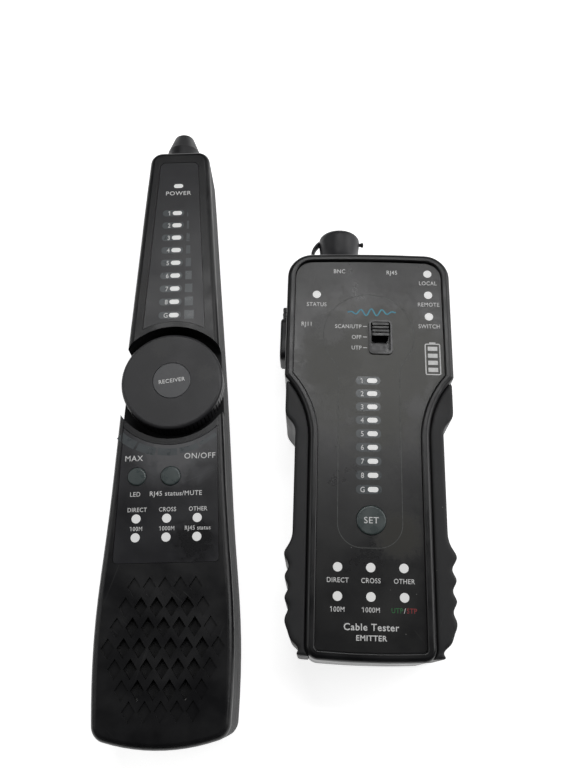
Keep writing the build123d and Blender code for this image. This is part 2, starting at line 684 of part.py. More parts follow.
def receiver_rounds():
    """Places of the six round lights."""
    return [(x, y) for y in R_GRID_Y for x in R_GRID_X]


def grille_plan(through):
    """Diamonds of the grille: those that pass through, or the blind border round them."""
    last = len(GRILLE_ROWS) - 1
    half_x, half_y = DIAMOND[0] / 2, DIAMOND[1] / 2
    diamonds = []
    for row, count in enumerate(GRILLE_ROWS):
        for column in range(count):
            border = row in (0, last) or column in (0, count - 1)
            if border == through:
                continue
            x = GRILLE_PITCH[0] * (column - (count - 1) / 2)
            y = GRILLE_Y + GRILLE_PITCH[1] * (last / 2 - row)
            corners = Polyline((x + half_x, y), (x, y + half_y), (x - half_x, y), (x, y - half_y), close=True)
            diamonds.append(make_face(corners))
    return diamonds


def tail_cuts():
    """Opening in the tail wall for the network socket."""
    x, y, z = R_RJ45_AT
    return block(around(x, RJ45["width"] + 0.2), around(y, 7.0), around(z, RJ45["height"] + 0.2))


def head_cuts():
    """Openings in the head wall for the tip, its flange and the lamp."""
    cuts = rod(0, TIP_Z, TIP_NECK + GAP, (R_HEAD_Y - 7.0, R_HEAD_Y + 1))
    cuts += rod(0, LAMP_Z, 1.55, (R_HEAD_Y - 4.0, R_HEAD_Y + 5))
    return cuts + rod(0, TIP_Z, TIP_FLANGE + GAP, (R_HEAD_Y - 5.6, R_HEAD_Y - 3.5))


def receiver_front_shell():
    """Front half of the probe: dial recess, panel seats, grille."""
    body = receiver_body() & block((-BIG, BIG), (-BIG, BIG), (PARTING_Z, BIG))
    body = chamfer(body.edges().group_by(Axis.Z)[0], length=SEAM)
    shell = body - receiver_envelope(WALL, 0.0, R_CEILING_Z)
    shell += body & post((0, 0), RECESS_RADIUS + RECESS_WALL, (RECESS_FLOOR_Z - RECESS_WALL, R_CEILING_Z + 1))
    shell -= post((0, 0), RECESS_RADIUS, (RECESS_FLOOR_Z, BIG))
    for at in R_SCREWS:
        under_dial = abs(at[1]) < RECESS_RADIUS
        shell += front_boss(at, RECESS_FLOOR_Z - RECESS_WALL if under_dial else R_CEILING_Z)
    shell += body & block((-8.5, 8.5), (R_HEAD_Y - 7.0, R_HEAD_Y), (PARTING_Z, R_CEILING_Z))
    seat = (R_FACE_Z - PANEL, BIG)
    shell -= slab(head_panel_plan(), seat)
    shell -= slab(keypad_plan(), seat)
    through = (R_CEILING_Z - 1, BIG)
    shell -= [post(at, 1.6, through) for at in receiver_bars() + receiver_rounds() + [R_POWER_LIGHT]]
    shell -= [post(at, radius + GAP, through) for at, radius in R_KEYS]
    shell -= [slab(plan, through) for plan in grille_plan(True)]
    shell -= [slab(plan, (R_FACE_Z - DIAMOND_DEPTH, BIG)) for plan in grille_plan(False)]
    shell -= post((0, 0), POT_BUSHING + 0.2, (0, RECESS_FLOOR_Z + 1))
    return shell - tail_cuts() - head_cuts()


def receiver_rear_shell():
    """Back half of the probe, with the battery opening."""
    body = receiver_body() & block((-BIG, BIG), (-BIG, BIG), (-1, PARTING_Z))
    body = chamfer(body.edges().group_by(Axis.Z)[-1], length=SEAM)
    shell = body - receiver_envelope(WALL, R_FLOOR, PARTING_Z + 1)
    shell += body & block((-8.5, 8.5), (R_HEAD_Y - 7.0, R_HEAD_Y), (0, PARTING_Z))
    shell += [rear_boss(at, receiver_back_z(at[1]) + 0.8) for at in R_SCREWS]
    shell -= [rear_boss_bore(at, receiver_back_z(at[1])) for at in R_SCREWS]
    half = DOOR_HALF_WIDTH + 0.3
    shell -= block((-half, half), (R_DOOR_Y[0] - 0.4, R_DOOR_Y[1] + 0.4), (-1, R_FLOOR + 1))
    return shell - tail_cuts() - head_cuts()


def receiver_battery_door():
    """Battery door: a plate with two tongues that it swings on."""
    door = block(around(0, 2 * DOOR_HALF_WIDTH), R_DOOR_Y, (0.2, R_FLOOR))
    door = fillet(door.edges().filter_by(Axis.Z), radius=1.0)
    tail = R_DOOR_Y[0]
    door += [block(around(x, 5.0), (tail - 2.6, tail + 2.0), (R_FLOOR + 0.1, R_FLOOR + 1.1)) for x in (-7, 7)]
    door += [block(around(x, 5.0), (tail + 0.2, tail + 2.0), (R_FLOOR - 0.5, R_FLOOR + 0.5)) for x in (-7, 7)]
    ribs = [block(around(0, 14.0), around(-26.0 + 1.6 * row, 0.7), (0, 0.6)) for row in range(5)]
    return door - ribs


def receiver_dial():
    """Volume dial: fluted edge, rounded rim, and a shallow seat for its centre cap."""
    places = PolarLocations(DIAL_RADIUS + 0.1, DIAL_FLUTES)
    flutes = Sketch() + [Circle(0.35).locate(place) for place in places]
    low, high = DIAL_Z
    dial = post((0, 0), DIAL_RADIUS, DIAL_Z)
    dial = fillet(dial.edges().group_by(Axis.Z)[-1], radius=DIAL_RIM_ROUND)
    dial -= slab(flutes, (low - 1, high - DIAL_RIM_ROUND - 0.4))
    dial -= post((0, 0), DIAL_CAP_RADIUS + GAP, (high - DIAL_CAP_DEPTH, BIG))
    return dial - post((0, 0), POT_SHAFT, (0, high - 3.0))


def receiver_dial_cap():
    """Disc set in the middle of the dial."""
    top = DIAL_Z[1] + 0.1
    cap = post((0, 0), DIAL_CAP_RADIUS, (DIAL_Z[1] - DIAL_CAP_DEPTH, top))
    return fillet(cap.edges().group_by(Axis.Z)[-1], radius=0.3)


def receiver_potentiometer():
    """Switched potentiometer under the board, with its threaded bushing."""
    body = post((0, 0), 8.2, (13.0, R_BOARD_Z)) + post((0, 0), POT_BUSHING, (R_BOARD_Z, RECESS_FLOOR_Z - 0.4))
    return body - post((0, 0), POT_SHAFT + 0.05, (16.5, BIG))


def receiver_circuit_board():
    """Board from the head lights down to the speaker."""
    board = slab(receiver_plan(3.0), (R_BOARD_Z, R_BOARD_TOP))
    board = board & block((-BIG, BIG), (-72.5, 92.5), (0, BIG))
    board -= post((0, 0), POT_BUSHING + 0.1, (0, BIG))
    return board - [post(at, 3.4, (0, BIG)) for at in R_SCREWS]


def receiver_board_parts():
    """Chips and other packages soldered to the board."""
    sizes = [((9.0, 60.0), (3.0, 6.0, 1.5)), ((-11.5, 30.0), (4.0, 6.0, 1.5)),
             ((10.5, -30.0), (8.0, 8.0, 1.4)), ((12.0, -44.0), (5.0, 4.0, 1.6)),
             ((-12.0, -24.0), (4.0, 4.0, 2.0)), ((-9.0, -66.0), (10.0, 5.0, 1.8))]
    return packages(sizes, R_BOARD_TOP)


def probe_tip():
    """Tapered tip with a neck and flange held between the two shells."""
    base = (Align.CENTER, Align.CENTER, Align.MIN)
    cone = Cone(TIP_BASE, TIP_END, TIP_LENGTH - TIP_COLLAR, align=base)
    cone = fillet(cone.edges().group_by(Axis.Z)[-1], radius=TIP_ROUND)
    tip = Pos(0, R_HEAD_Y + TIP_COLLAR, TIP_Z) * Rot(-90, 0, 0) * cone
    tip += rod(0, TIP_Z, TIP_BASE, (R_HEAD_Y, R_HEAD_Y + TIP_COLLAR))
    tip += rod(0, TIP_Z, TIP_NECK, (R_HEAD_Y - 6.9, R_HEAD_Y))
    tip += rod(0, TIP_Z, TIP_FLANGE, (R_HEAD_Y - 5.5, R_HEAD_Y - 3.6))
    return tip - rod(0, TIP_Z, 1.5, (0, R_HEAD_Y + TIP_LENGTH - 2.0))


def speaker_frame():
    """Pressed speaker basket on its magnet."""
    low, high = SPEAKER_Z
    outer = Polyline((0, low), (8.8, low), (8.8, low + 3.8), (16.2, high - 1.6),
                     (SPEAKER_RADIUS, high - 1.6), (SPEAKER_RADIUS, high), (16.0, high),
                     (15.4, high - 1.0), (7.8, low + 4.6), (0, low + 4.6), close=True)
    turned = revolve(make_face(Plane.XZ * outer), axis=Axis.Z)
    return Pos(0, GRILLE_Y, 0) * turned


def speaker_cone():
    """Paper cone with its dust dome."""
    low, high = SPEAKER_Z
    section = Polyline((0, low + 6.4), (4.5, low + 5.4), (15.2, high - 0.5), (15.9, high - 0.1), (15.9, high),
                       (15.0, high), (4.6, low + 6.0), (0, low + 7.2), close=True)
    turned = revolve(make_face(Plane.XZ * section), axis=Axis.Z)
    return Pos(0, GRILLE_Y, 0) * turned


# ---------------------------------------------------------------- write every node

def build_emitter():
    """Write the emitter's nodes."""
    save("emitter_front_shell", emitter_front_shell())
    save("emitter_rear_shell", emitter_rear_shell())
    left_grip, right_grip = emitter_grips()
    save("emitter_grip_left", left_grip)
    save("emitter_grip_right", right_grip)
    save("emitter_face_panel", emitter_face_panel())
    save("emitter_light_windows", light_windows(emitter_bars(), emitter_rounds(), E_SEAT_Z, E_FACE_Z))
    lights = [light(at, E_BOARD_TOP, E_SEAT_Z - 0.3) for at in emitter_bars() + emitter_rounds()]
    save("emitter_leds", together(lights))
    save("emitter_circuit_board", emitter_circuit_board())
    save("emitter_board_parts", emitter_board_parts())
    save("emitter_set_key", push_key(SET_KEY_AT, SET_KEY_RADIUS, E_CEILING_Z, E_FACE_Z + 0.5))
    save("emitter_set_switch", switch_body(SET_KEY_AT, E_BOARD_TOP))
    save("emitter_set_plunger", switch_plunger(SET_KEY_AT, E_BOARD_TOP, E_CEILING_Z - 1.1))
    save("emitter_slide_knob", emitter_slide_knob())
    save("emitter_slide_switch", emitter_slide_switch())
    save("emitter_bnc_jack", emitter_bnc_jack())
    save("emitter_bnc_insulator", emitter_bnc_insulator())
    save("emitter_bnc_contact", emitter_bnc_contact())
    save("emitter_bnc_nut", emitter_bnc_nut())
    save("emitter_bnc_cap", emitter_bnc_cap())
    save("emitter_bnc_strap", emitter_bnc_strap())
    save("emitter_rj45_jack", Pos(*E_RJ45_AT) * modular_jack(**RJ45))
    save("emitter_rj45_contacts", Pos(*E_RJ45_AT) * jack_contacts(RJ45_PINS, RJ45["mouth"]))
    rj11_frame = Pos(*E_RJ11_AT) * Rot(0, 0, 90)
    save("emitter_rj11_jack", rj11_frame * modular_jack(**RJ11))
    save("emitter_rj11_contacts", rj11_frame * jack_contacts(RJ11_PINS, RJ11["mouth"]))
    save("emitter_rj11_anchor", emitter_rj11_anchor())
    save("emitter_rj11_cover", emitter_rj11_cover())
    save("emitter_battery_door", emitter_battery_door())
    save("emitter_battery", battery(E_BATTERY_Y, E_BATTERY_Z))
    save("emitter_battery_snap", battery_snap(E_BATTERY_Y, E_BATTERY_Z))
    save("emitter_screws", together([screw(at, 1.0, 24.0) for at in E_SCREWS]))


def build_receiver():
    """Write the receiver's nodes."""
    save("receiver_front_shell", receiver_front_shell())
    save("receiver_rear_shell", receiver_rear_shell())
    save("receiver_probe_tip", probe_tip())
    save("receiver_probe_rod", rod(0, TIP_Z, 1.45, (R_HEAD_Y - 8.6, R_HEAD_Y + TIP_LENGTH - 2.1)))
    panel_z = (R_FACE_Z - PANEL, R_FACE_Z - GAP)
    through = (0, BIG)
    head_panel = slab(offset(head_panel_plan(), amount=-PANEL_GAP), panel_z)
    head_panel -= [slab(slot_plan(at, BAR_SIZE), through) for at in receiver_bars() + [R_POWER_LIGHT]]
    save("receiver_head_panel", head_panel)
    keypad = slab(offset(keypad_plan(), amount=-PANEL_GAP), panel_z)
    keypad -= [post(at, ROUND_LIGHT / 2, through) for at in receiver_rounds()]
    keypad -= [post(at, radius + GAP, through) for at, radius in R_KEYS]
    save("receiver_keypad_panel", keypad)
    windows = light_windows(receiver_bars() + [R_POWER_LIGHT], receiver_rounds(), *panel_z)
    save("receiver_light_windows", windows)
    lights = [light(at, R_BOARD_TOP, R_FACE_Z - 1.1)
              for at in receiver_bars() + receiver_rounds() + [R_POWER_LIGHT]]
    save("receiver_leds", together(lights))
    save("receiver_circuit_board", receiver_circuit_board())
    save("receiver_board_parts", receiver_board_parts())
    save("receiver_dial", receiver_dial())
    save("receiver_dial_cap", receiver_dial_cap())
    save("receiver_potentiometer", receiver_potentiometer())
    save("receiver_pot_shaft", post((0, 0), POT_SHAFT, (16.7, DIAL_Z[1] - 3.0)))
    save("receiver_lamp_key", push_key(LAMP_KEY_AT, LAMP_KEY_RADIUS, R_CEILING_Z, R_FACE_Z + 0.4))
    save("receiver_mute_key", push_key(MUTE_KEY_AT, MUTE_KEY_RADIUS, R_CEILING_Z, R_FACE_Z + 0.4))
    save("receiver_key_switches", together([switch_body(at, R_BOARD_TOP) for at, radius in R_KEYS]))
    save("receiver_lamp_plunger", switch_plunger(LAMP_KEY_AT, R_BOARD_TOP, R_CEILING_Z - 1.1))
    save("receiver_mute_plunger", switch_plunger(MUTE_KEY_AT, R_BOARD_TOP, R_CEILING_Z - 1.1))
    save("receiver_speaker_frame", speaker_frame())
    save("receiver_speaker_cone", speaker_cone())
    save("receiver_speaker_mesh", post((0, GRILLE_Y), 17.4, (SPEAKER_Z[1] + 0.05, R_CEILING_Z)))
    save("receiver_battery", battery(R_BATTERY_Y, R_BATTERY_Z))
    save("receiver_battery_snap", battery_snap(R_BATTERY_Y, R_BATTERY_Z))
    save("receiver_battery_door", receiver_battery_door())
    tail_frame = Pos(*R_RJ45_AT) * Rot(0, 0, 180)
    save("receiver_rj45_jack", tail_frame * modular_jack(**RJ45))
    save("receiver_rj45_contacts", tail_frame * jack_contacts(RJ45_PINS, RJ45["mouth"]))
    jack_top = R_RJ45_AT[2] + RJ45["height"] / 2
    save("receiver_port_board", block((-13.5, 13.5), (-119.5, -101.0), (jack_top, jack_top + BOARD)))
    save("receiver_lamp", rod(0, LAMP_Z, 1.45, (R_HEAD_Y - 3.9, R_HEAD_Y + 0.5)))
    screws = [screw(at, receiver_back_z(at[1]) + 1.0, 22.0) for at in R_SCREWS]
    save("receiver_screws", together(screws))


os.makedirs("parts", exist_ok=True)
build_emitter()
build_receiver()
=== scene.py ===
import json
import math

import bmesh
import bpy
from mathutils import Matrix, Vector


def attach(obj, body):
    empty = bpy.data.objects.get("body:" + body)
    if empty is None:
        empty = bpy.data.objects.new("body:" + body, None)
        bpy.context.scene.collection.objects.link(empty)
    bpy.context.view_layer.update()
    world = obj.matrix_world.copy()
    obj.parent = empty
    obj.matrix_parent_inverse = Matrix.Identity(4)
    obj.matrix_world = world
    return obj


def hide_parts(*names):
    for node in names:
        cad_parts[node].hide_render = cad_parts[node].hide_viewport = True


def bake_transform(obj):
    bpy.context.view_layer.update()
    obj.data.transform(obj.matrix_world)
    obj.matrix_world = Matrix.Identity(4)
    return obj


# Looks of the network cable tester: an emitter and a receiver lying side by side. Each unit's
# pieces are laid out in its own millimetres (x across, y towards its head, z up), with the
# emitter's origin at a set place above its key and the receiver's on the axis of its dial.

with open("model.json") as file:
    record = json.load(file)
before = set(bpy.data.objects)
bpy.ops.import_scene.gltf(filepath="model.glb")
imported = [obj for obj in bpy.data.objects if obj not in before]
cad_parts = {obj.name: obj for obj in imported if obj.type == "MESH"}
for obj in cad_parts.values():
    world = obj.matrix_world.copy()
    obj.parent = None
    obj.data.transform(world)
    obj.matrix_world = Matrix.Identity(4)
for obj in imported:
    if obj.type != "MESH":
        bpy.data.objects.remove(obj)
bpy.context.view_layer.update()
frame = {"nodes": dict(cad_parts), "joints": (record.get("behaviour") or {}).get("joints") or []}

MM = 0.001

# Camera, placed from the axis of the receiver's dial
CAMERA_FROM_DIAL = (0.04978, -0.10758)
CAMERA_HEIGHT = 0.30772
CAMERA_TILT = math.radians(21.10)
CAMERA_PAN = math.radians(1.42)
CAMERA_LENS = 37.5

# Where the emitter's key lies in the emitter's millimetres
KEY_AT = (0.4, -29.6)

# Bar lights are wider than this, round ones narrower, in millimetres
BAR_LIGHT_WIDTH = 3.5

# Printing
INK_LIFT = 0.012
TINT_LIFT = 0.006
INK_SINK = 0.02
CAP_SHARE = 0.729
TEXT_SQUEEZE = 0.88
TEXT_SPACING = 1.1
TEXT_WEIGHT = 0.02

# Flag of a leading 1, as shares of the capitals' height: its ends from the 1's left and top, its width
FLAG_START = (-0.22, -0.26)
FLAG_END = (0.1, -0.06)
FLAG_WIDTH = 0.15

# Soft pieces and turned ones
SHARP_ANGLE = math.radians(35)
GRIP_VOXEL = 0.5
GRIP_SMOOTHING = 14
GRIP_KEEP = 0.3
CAP_SEGMENTS = 72
CAP_RIM = 2.2


# ---------------------------------------------------------------- the two units

def joint(name):
    """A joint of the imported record."""
    return next(j for j in frame["joints"] if j["name"] == name)


class Unit:
    """One of the two units and its own frame in millimetres."""

    def __init__(self, x_axis, origin):
        x = Vector(x_axis).normalized()
        z = Vector((0, 0, 1))
        axes = Matrix((x, z.cross(x), z)).transposed().to_4x4()
        self.to_row = Matrix.Translation(origin) @ axes @ Matrix.Scale(MM, 4)
        self.to_unit = self.to_row.inverted()

    def solids(self, node):
        """Boxes of a node's separate solids, as (lowest corner, highest corner)."""
        bm = bmesh.new()
        bm.from_mesh(frame["nodes"][node].data)
        bm.transform(self.to_unit)
        bmesh.ops.remove_doubles(bm, verts=bm.verts, dist=0.0005)
        left = set(bm.verts)
        boxes = []
        while left:
            group = {left.pop()}
            edge_of_group = set(group)
            while edge_of_group:
                near = {e.other_vert(v) for v in edge_of_group for e in v.link_edges}
                edge_of_group = near - group
                group |= edge_of_group
            left -= group
            low = Vector([min(v.co[i] for v in group) for i in range(3)])
            high = Vector([max(v.co[i] for v in group) for i in range(3)])
            boxes.append((low, high))
        bm.free()
        return boxes

    def box(self, node):
        """Box of a whole node in this unit's frame."""
        boxes = self.solids(node)
        low = Vector([min(b[0][i] for b in boxes) for i in range(3)])
        high = Vector([max(b[1][i] for b in boxes) for i in range(3)])
        return low, high

    def row(self, point):
        """A point of this unit in the row frame."""
        return self.to_row @ Vector(point)


def middle(box):
    """Middle of a box in plan."""
    return (box[0] + box[1]).to_2d() / 2


def emitter_unit():
    """The emitter's frame: its slider shows which way is up its case, and its key where it lies."""
    up = joint("mode_slide")["axis"]
    across = (up[1], -up[0], 0)
    turned = Unit(across, (0, 0, 0))
    key = middle(turned.box("emitter_set_key"))
    return Unit(across, turned.row((key.x - KEY_AT[0], key.y - KEY_AT[1], 0)))


def receiver_unit():
    """The receiver's frame, on the axis of its dial."""
    x, y, z = joint("dial_turn")["pos_m"]
    return Unit(joint("receiver_door_swing")["axis"], (x, y, 0))


EMITTER = emitter_unit()
RECEIVER = receiver_unit()


def lights_of(unit, node):
    """Middles of a unit's bar lights, from the head down, and of its round lights."""
    boxes = sorted(unit.solids(node), key=lambda b: -middle(b).y)
    bars = [middle(b) for b in boxes if b[1].x - b[0].x > BAR_LIGHT_WIDTH]
    rounds = [middle(b) for b in boxes if b[1].x - b[0].x <= BAR_LIGHT_WIDTH]
    return bars, rounds


# ---------------------------------------------------------------- materials

class Finish:
    """A material built up in layers, with its textures laid out in millimetres."""

    def __init__(self, name, color, rough):
        self.material = bpy.data.materials.new(name)
        self.material.use_nodes = True
        self.tree = self.material.node_tree
        self.shader = self.tree.nodes["Principled BSDF"]
        self.place = self.node("ShaderNodeTexCoord").outputs["Object"]
        self.color = color
        self.rough = rough
        self.normal = None

    def node(self, kind):
        """A new shader node of a kind."""
        return self.tree.nodes.new(kind)

    def put(self, value, socket):
        """Sets a socket to a value, or links one to it."""
        if isinstance(value, bpy.types.NodeSocket):
            self.tree.links.new(value, socket)
        elif socket.type == "RGBA":
            socket.default_value = (*value, 1)
        else:
            socket.default_value = value

    def at(self, scale=(1, 1, 1), turn=0.0, shift=(0, 0, 0)):
        """Millimetre coordinates, stretched, turned about the vertical or shifted."""
        mapping = self.node("ShaderNodeMapping")
        mapping.vector_type = "TEXTURE" if turn else "POINT"
        self.put(self.place, mapping.inputs["Vector"])
        if turn:
            mapping.inputs["Rotation"].default_value = (0, 0, turn)
            mapping.inputs["Scale"].default_value = [MM / s for s in scale]
        else:
            mapping.inputs["Scale"].default_value = [s / MM for s in scale]
        mapping.inputs["Location"].default_value = shift
        return mapping.outputs["Vector"]

    def noise(self, scale, detail=3.0, vector=None, distortion=0.0):
        """Cloudy noise, its scale in turns per millimetre."""
        texture = self.node("ShaderNodeTexNoise")
        self.put(vector or self.at(), texture.inputs["Vector"])
        texture.inputs["Scale"].default_value = scale
        texture.inputs["Detail"].default_value = detail
        texture.inputs["Distortion"].default_value = distortion
        return texture.outputs[0]

    def span(self, value, low, high, to_low=0.0, to_high=1.0):
        """A value's range laid over another range, and held at its ends."""
        ranged = self.node("ShaderNodeMapRange")
        self.put(value, ranged.inputs["Value"])
        ends = {"From Min": low, "From Max": high, "To Min": to_low, "To Max": to_high}
        for name, number in ends.items():
            ranged.inputs[name].default_value = number
        return ranged.outputs[0]

    def combine(self, kind, a, b):
        """One step of arithmetic on two values."""
        step = self.node("ShaderNodeMath")
        step.operation = kind
        self.put(a, step.inputs[0])
        self.put(b, step.inputs[1])
        return step.outputs[0]

    def mix(self, share, a, b):
        """One colour blended into another by a share."""
        blended = self.node("ShaderNodeMix")
        blended.data_type = "RGBA"
        self.put(share, blended.inputs[0])
        self.put(a, blended.inputs[6])
        self.put(b, blended.inputs[7])
        return blended.outputs[2]

    def tint(self, share, color, rough=None):
        """Lays a colour, and a roughness, over what is there."""
        self.color = self.mix(share, self.color, color)
        if rough is not None:
            change = self.combine("MULTIPLY", share, self.combine("SUBTRACT", rough, self.rough))
            self.rough = self.combine("ADD", self.rough, change)

    def mottle(self, color, share=0.5, scale=0.08, rough=0.05):
        """Soft patches of a second colour, rougher than the first."""
        patches = self.span(self.noise(scale, 5.0), 0.35, 0.68)
        self.color = self.mix(self.combine("MULTIPLY", patches, share), self.color, color)
        self.rough = self.combine("ADD", self.rough, self.span(patches, 0.0, 1.0, -rough, rough))

    def grain(self, scale, depth, detail=2.0):
        """Fine moulded or woven relief, its depth in millimetres."""
        self.relief(self.noise(scale, detail), depth)

    def relief(self, height, depth):
        """Bump from a height, its depth in millimetres, over the relief that is there."""
        bump = self.node("ShaderNodeBump")
        bump.inputs["Strength"].default_value = 1.0
        bump.inputs["Distance"].default_value = depth * MM
        self.put(height, bump.inputs["Height"])
        if self.normal is not None:
            self.put(self.normal, bump.inputs["Normal"])
        self.normal = bump.outputs["Normal"]

    def specks(self, scale, size, share, color, rough=0.6):
        """Separate dust specks: one in some of the cells of a cell pattern."""
        cells = self.node("ShaderNodeTexVoronoi")
        self.put(self.at(), cells.inputs["Vector"])
        cells.inputs["Scale"].default_value = scale
        dot = self.span(cells.outputs["Distance"], size * scale, size * scale * 0.6)
        chosen = self.span(cells.outputs["Color"], 1 - share, 1 - share + 0.02)
        self.tint(self.combine("MULTIPLY", dot, chosen), color, rough)

    def below(self, high, low):
        """Share that grows from nothing at one height to all at a lower one."""
        parts = self.node("ShaderNodeSeparateXYZ")
        self.put(self.place, parts.inputs[0])
        return self.span(parts.outputs["Z"], high * MM, low * MM)

    def scratches(self, turn, amount, color, fine=2.4, seed=0.0):
        """Thin worn lines that run one way, in scattered groups."""
        lines = self.noise(1.0, 1.0, self.at((0.035, fine, 0.2), turn, (seed, seed, 0)), 0.6)
        groups = self.span(self.noise(0.05, 2.0, self.at(shift=(seed, -seed, 0))), 0.5, 0.62)
        marks = self.combine("MULTIPLY", self.span(lines, 0.735, 0.76), groups)
        self.tint(self.combine("MULTIPLY", marks, amount), color, 0.55)

    def patch(self, unit, at, radius, color, amount, rough, scale=0.4, edge=0.55):
        """A patch of colour with a ragged edge about one place on a unit, used for stains and for
        painted highlights.
        """
        apart = self.node("ShaderNodeVectorMath")
        apart.operation = "DISTANCE"
        self.put(self.place, apart.inputs[0])
        apart.inputs[1].default_value = unit.row((at[0], at[1], at[2]))
        ragged = self.combine("MULTIPLY", self.noise(scale, 6.0, distortion=0.8), 2 * edge)
        reach = self.combine("ADD", self.combine("DIVIDE", apart.outputs["Value"], radius * MM), ragged)
        self.tint(self.span(reach, 1.0 + edge, 0.55 + edge, 0.0, amount), color, rough)

    def done(self, **shader):
        """Connects the layers, sets what is the same all over, and gives the material."""
        self.put(self.color, self.shader.inputs["Base Color"])
        self.put(self.rough, self.shader.inputs["Roughness"])
        if self.normal is not None:
            self.put(self.normal, self.shader.inputs["Normal"])
        for name, value in shader.items():
            self.put(value, self.shader.inputs[name.replace("_", " ")])
        return self.material


DUST = (0.30, 0.30, 0.28)

# Heights in millimetres between which the receiver's case goes from its face's finish to its walls'
# rougher finish, with painted shade darkening the walls' colour
WALL_FADE = (31.2, 29.0)


def emitter_case_plastic():
    """Glossy black plastic of the emitter's case, dulled in patches by handling."""
    made = Finish("emitter_case_plastic", (0.0075, 0.0075, 0.0085), 0.34)
    made.mottle((0.014, 0.014, 0.015), 0.8, 0.11, 0.06)
    made.scratches(0.5, 0.5, (0.06, 0.06, 0.06))
    made.scratches(1.9, 0.4, (0.05, 0.05, 0.05), 3.1, 7.0)
    made.specks(0.55, 0.16, 0.06, DUST)
    made.grain(9.0, 0.006)
    return made.done(Specular_IOR_Level=0.5)


def receiver_case_plastic():
    """Satin black plastic of the receiver's case, rougher on its walls, with painted shade making the
    walls darker than the face.
    """
    made = Finish("receiver_case_plastic", (0.0070, 0.0070, 0.0082), 0.36)
    made.mottle((0.013, 0.013, 0.014), 0.8, 0.09, 0.07)
    made.scratches(1.25, 0.5, (0.05, 0.05, 0.05), 2.6, 3.0)
    made.scratches(-0.7, 0.6, (0.06, 0.06, 0.06), 3.0, 12.0)
    made.patch(RECEIVER, (-8.5, 36.0, 33.0), 9.0, (0.05, 0.048, 0.045), 0.35, 0.6, 1.6)
    # Painted shade: the walls' colour is darkened below the face, standing in for the darker floor they
    # mirror; the rise in roughness there is the walls' own rougher moulding.
    made.tint(made.below(*WALL_FADE), (0.0030, 0.0030, 0.0040), 0.7)
    made.specks(0.5, 0.17, 0.05, DUST)
    made.grain(7.0, 0.008)
    return made.done(Specular_IOR_Level=0.42)


def grip_rubber():
    """Soft black rubber of the side grips, greyed where a hand rubs it."""
    made = Finish("grip_rubber", (0.016, 0.016, 0.018), 0.55)
    made.mottle((0.028, 0.028, 0.029), 0.9, 0.07, 0.08)
    made.specks(0.6, 0.17, 0.10, DUST)
    made.scratches(1.2, 0.45, (0.08, 0.08, 0.08), 2.0, 4.0)
    made.grain(5.0, 0.02, 4.0)
    return made.done(Specular_IOR_Level=0.45)


def cap_rubber():
    """Rubber of the dust cap, its strap and the socket cover."""
    made = Finish("cap_rubber", (0.013, 0.013, 0.016), 0.47)
    made.mottle((0.025, 0.025, 0.028), 0.7, 0.16, 0.07)
    made.specks(0.8, 0.13, 0.06, DUST)
    made.grain(6.0, 0.014, 4.0)
    return made.done(Specular_IOR_Level=0.5)


def emitter_overlay():
    """Printed face of the emitter: satin film, lighter at the head from a dust haze and a painted
    reflection, smudged down its right.
    """
    made = Finish("emitter_overlay", (0.014, 0.014, 0.0150), 0.33)
    made.mottle((0.024, 0.024, 0.023), 0.9, 0.05, 0.05)
    made.mottle((0.010, 0.010, 0.011), 0.35, 0.6, 0.02)
    top = EMITTER.box("emitter_face_panel")[1].z
    # Dust haze and painted reflection: lighter patches over the head, where the overhead light mirrors
    # in the face.
    made.patch(EMITTER, (4.0, 26.0, top), 34.0, (0.062, 0.062, 0.052), 0.75, 0.44, 0.12)
    made.patch(EMITTER, (-15.0, 30.0, top), 14.0, (0.085, 0.085, 0.078), 0.7, 0.5, 0.30)
    made.patch(EMITTER, (-14.5, 43.0, top), 7.0, (0.20, 0.20, 0.20), 0.5, 0.6, 0.9)
    made.patch(EMITTER, (17.5, 12.0, top), 5.5, (0.007, 0.007, 0.008), 0.8, 0.30, 0.7)
    made.patch(EMITTER, (16.5, -14.0, top), 9.0, (0.005, 0.005, 0.006), 0.85, 0.28, 0.5)
    made.patch(EMITTER, (10.0, -34.5, top), 9.5, (0.032, 0.030, 0.022), 0.7, 0.6, 0.9)
    made.specks(0.7, 0.15, 0.09, DUST)
    made.scratches(1.35, 0.35, (0.10, 0.10, 0.09), 2.8, 2.0)
    made.scratches(-0.9, 0.35, (0.10, 0.10, 0.09), 3.2, 9.0)
    made.grain(4.5, 0.009, 3.0)
    return made.done(Specular_IOR_Level=0.5)


def receiver_overlay():
    """Printed face of the receiver's head and keypad, with a painted highlight on the keypad below the
    dial.
    """
    made = Finish("receiver_overlay", (0.012, 0.012, 0.0145), 0.33)
    made.mottle((0.022, 0.022, 0.026), 0.8, 0.07, 0.05)
    top = RECEIVER.box("receiver_keypad_panel")[1].z
    # Painted highlight: lighter patches on the keypad below the dial, where the overhead light mirrors
    # in the face.
    made.patch(RECEIVER, (2.0, -25.0, top), 17.0, (0.085, 0.087, 0.094), 0.7, 0.40, 0.12)
    made.patch(RECEIVER, (2.0, -25.5, top), 11.0, (0.13, 0.13, 0.135), 0.6, 0.45, 0.3)
    made.patch(RECEIVER, (9.5, -59.0, top), 9.0, (0.004, 0.004, 0.005), 0.8, 0.25, 0.4)
    made.specks(0.8, 0.13, 0.08, DUST)
    made.scratches(0.4, 0.3, (0.08, 0.08, 0.09), 2.6, 5.0)
    made.grain(5.0, 0.007, 3.0)
    return made.done(Specular_IOR_Level=0.5)


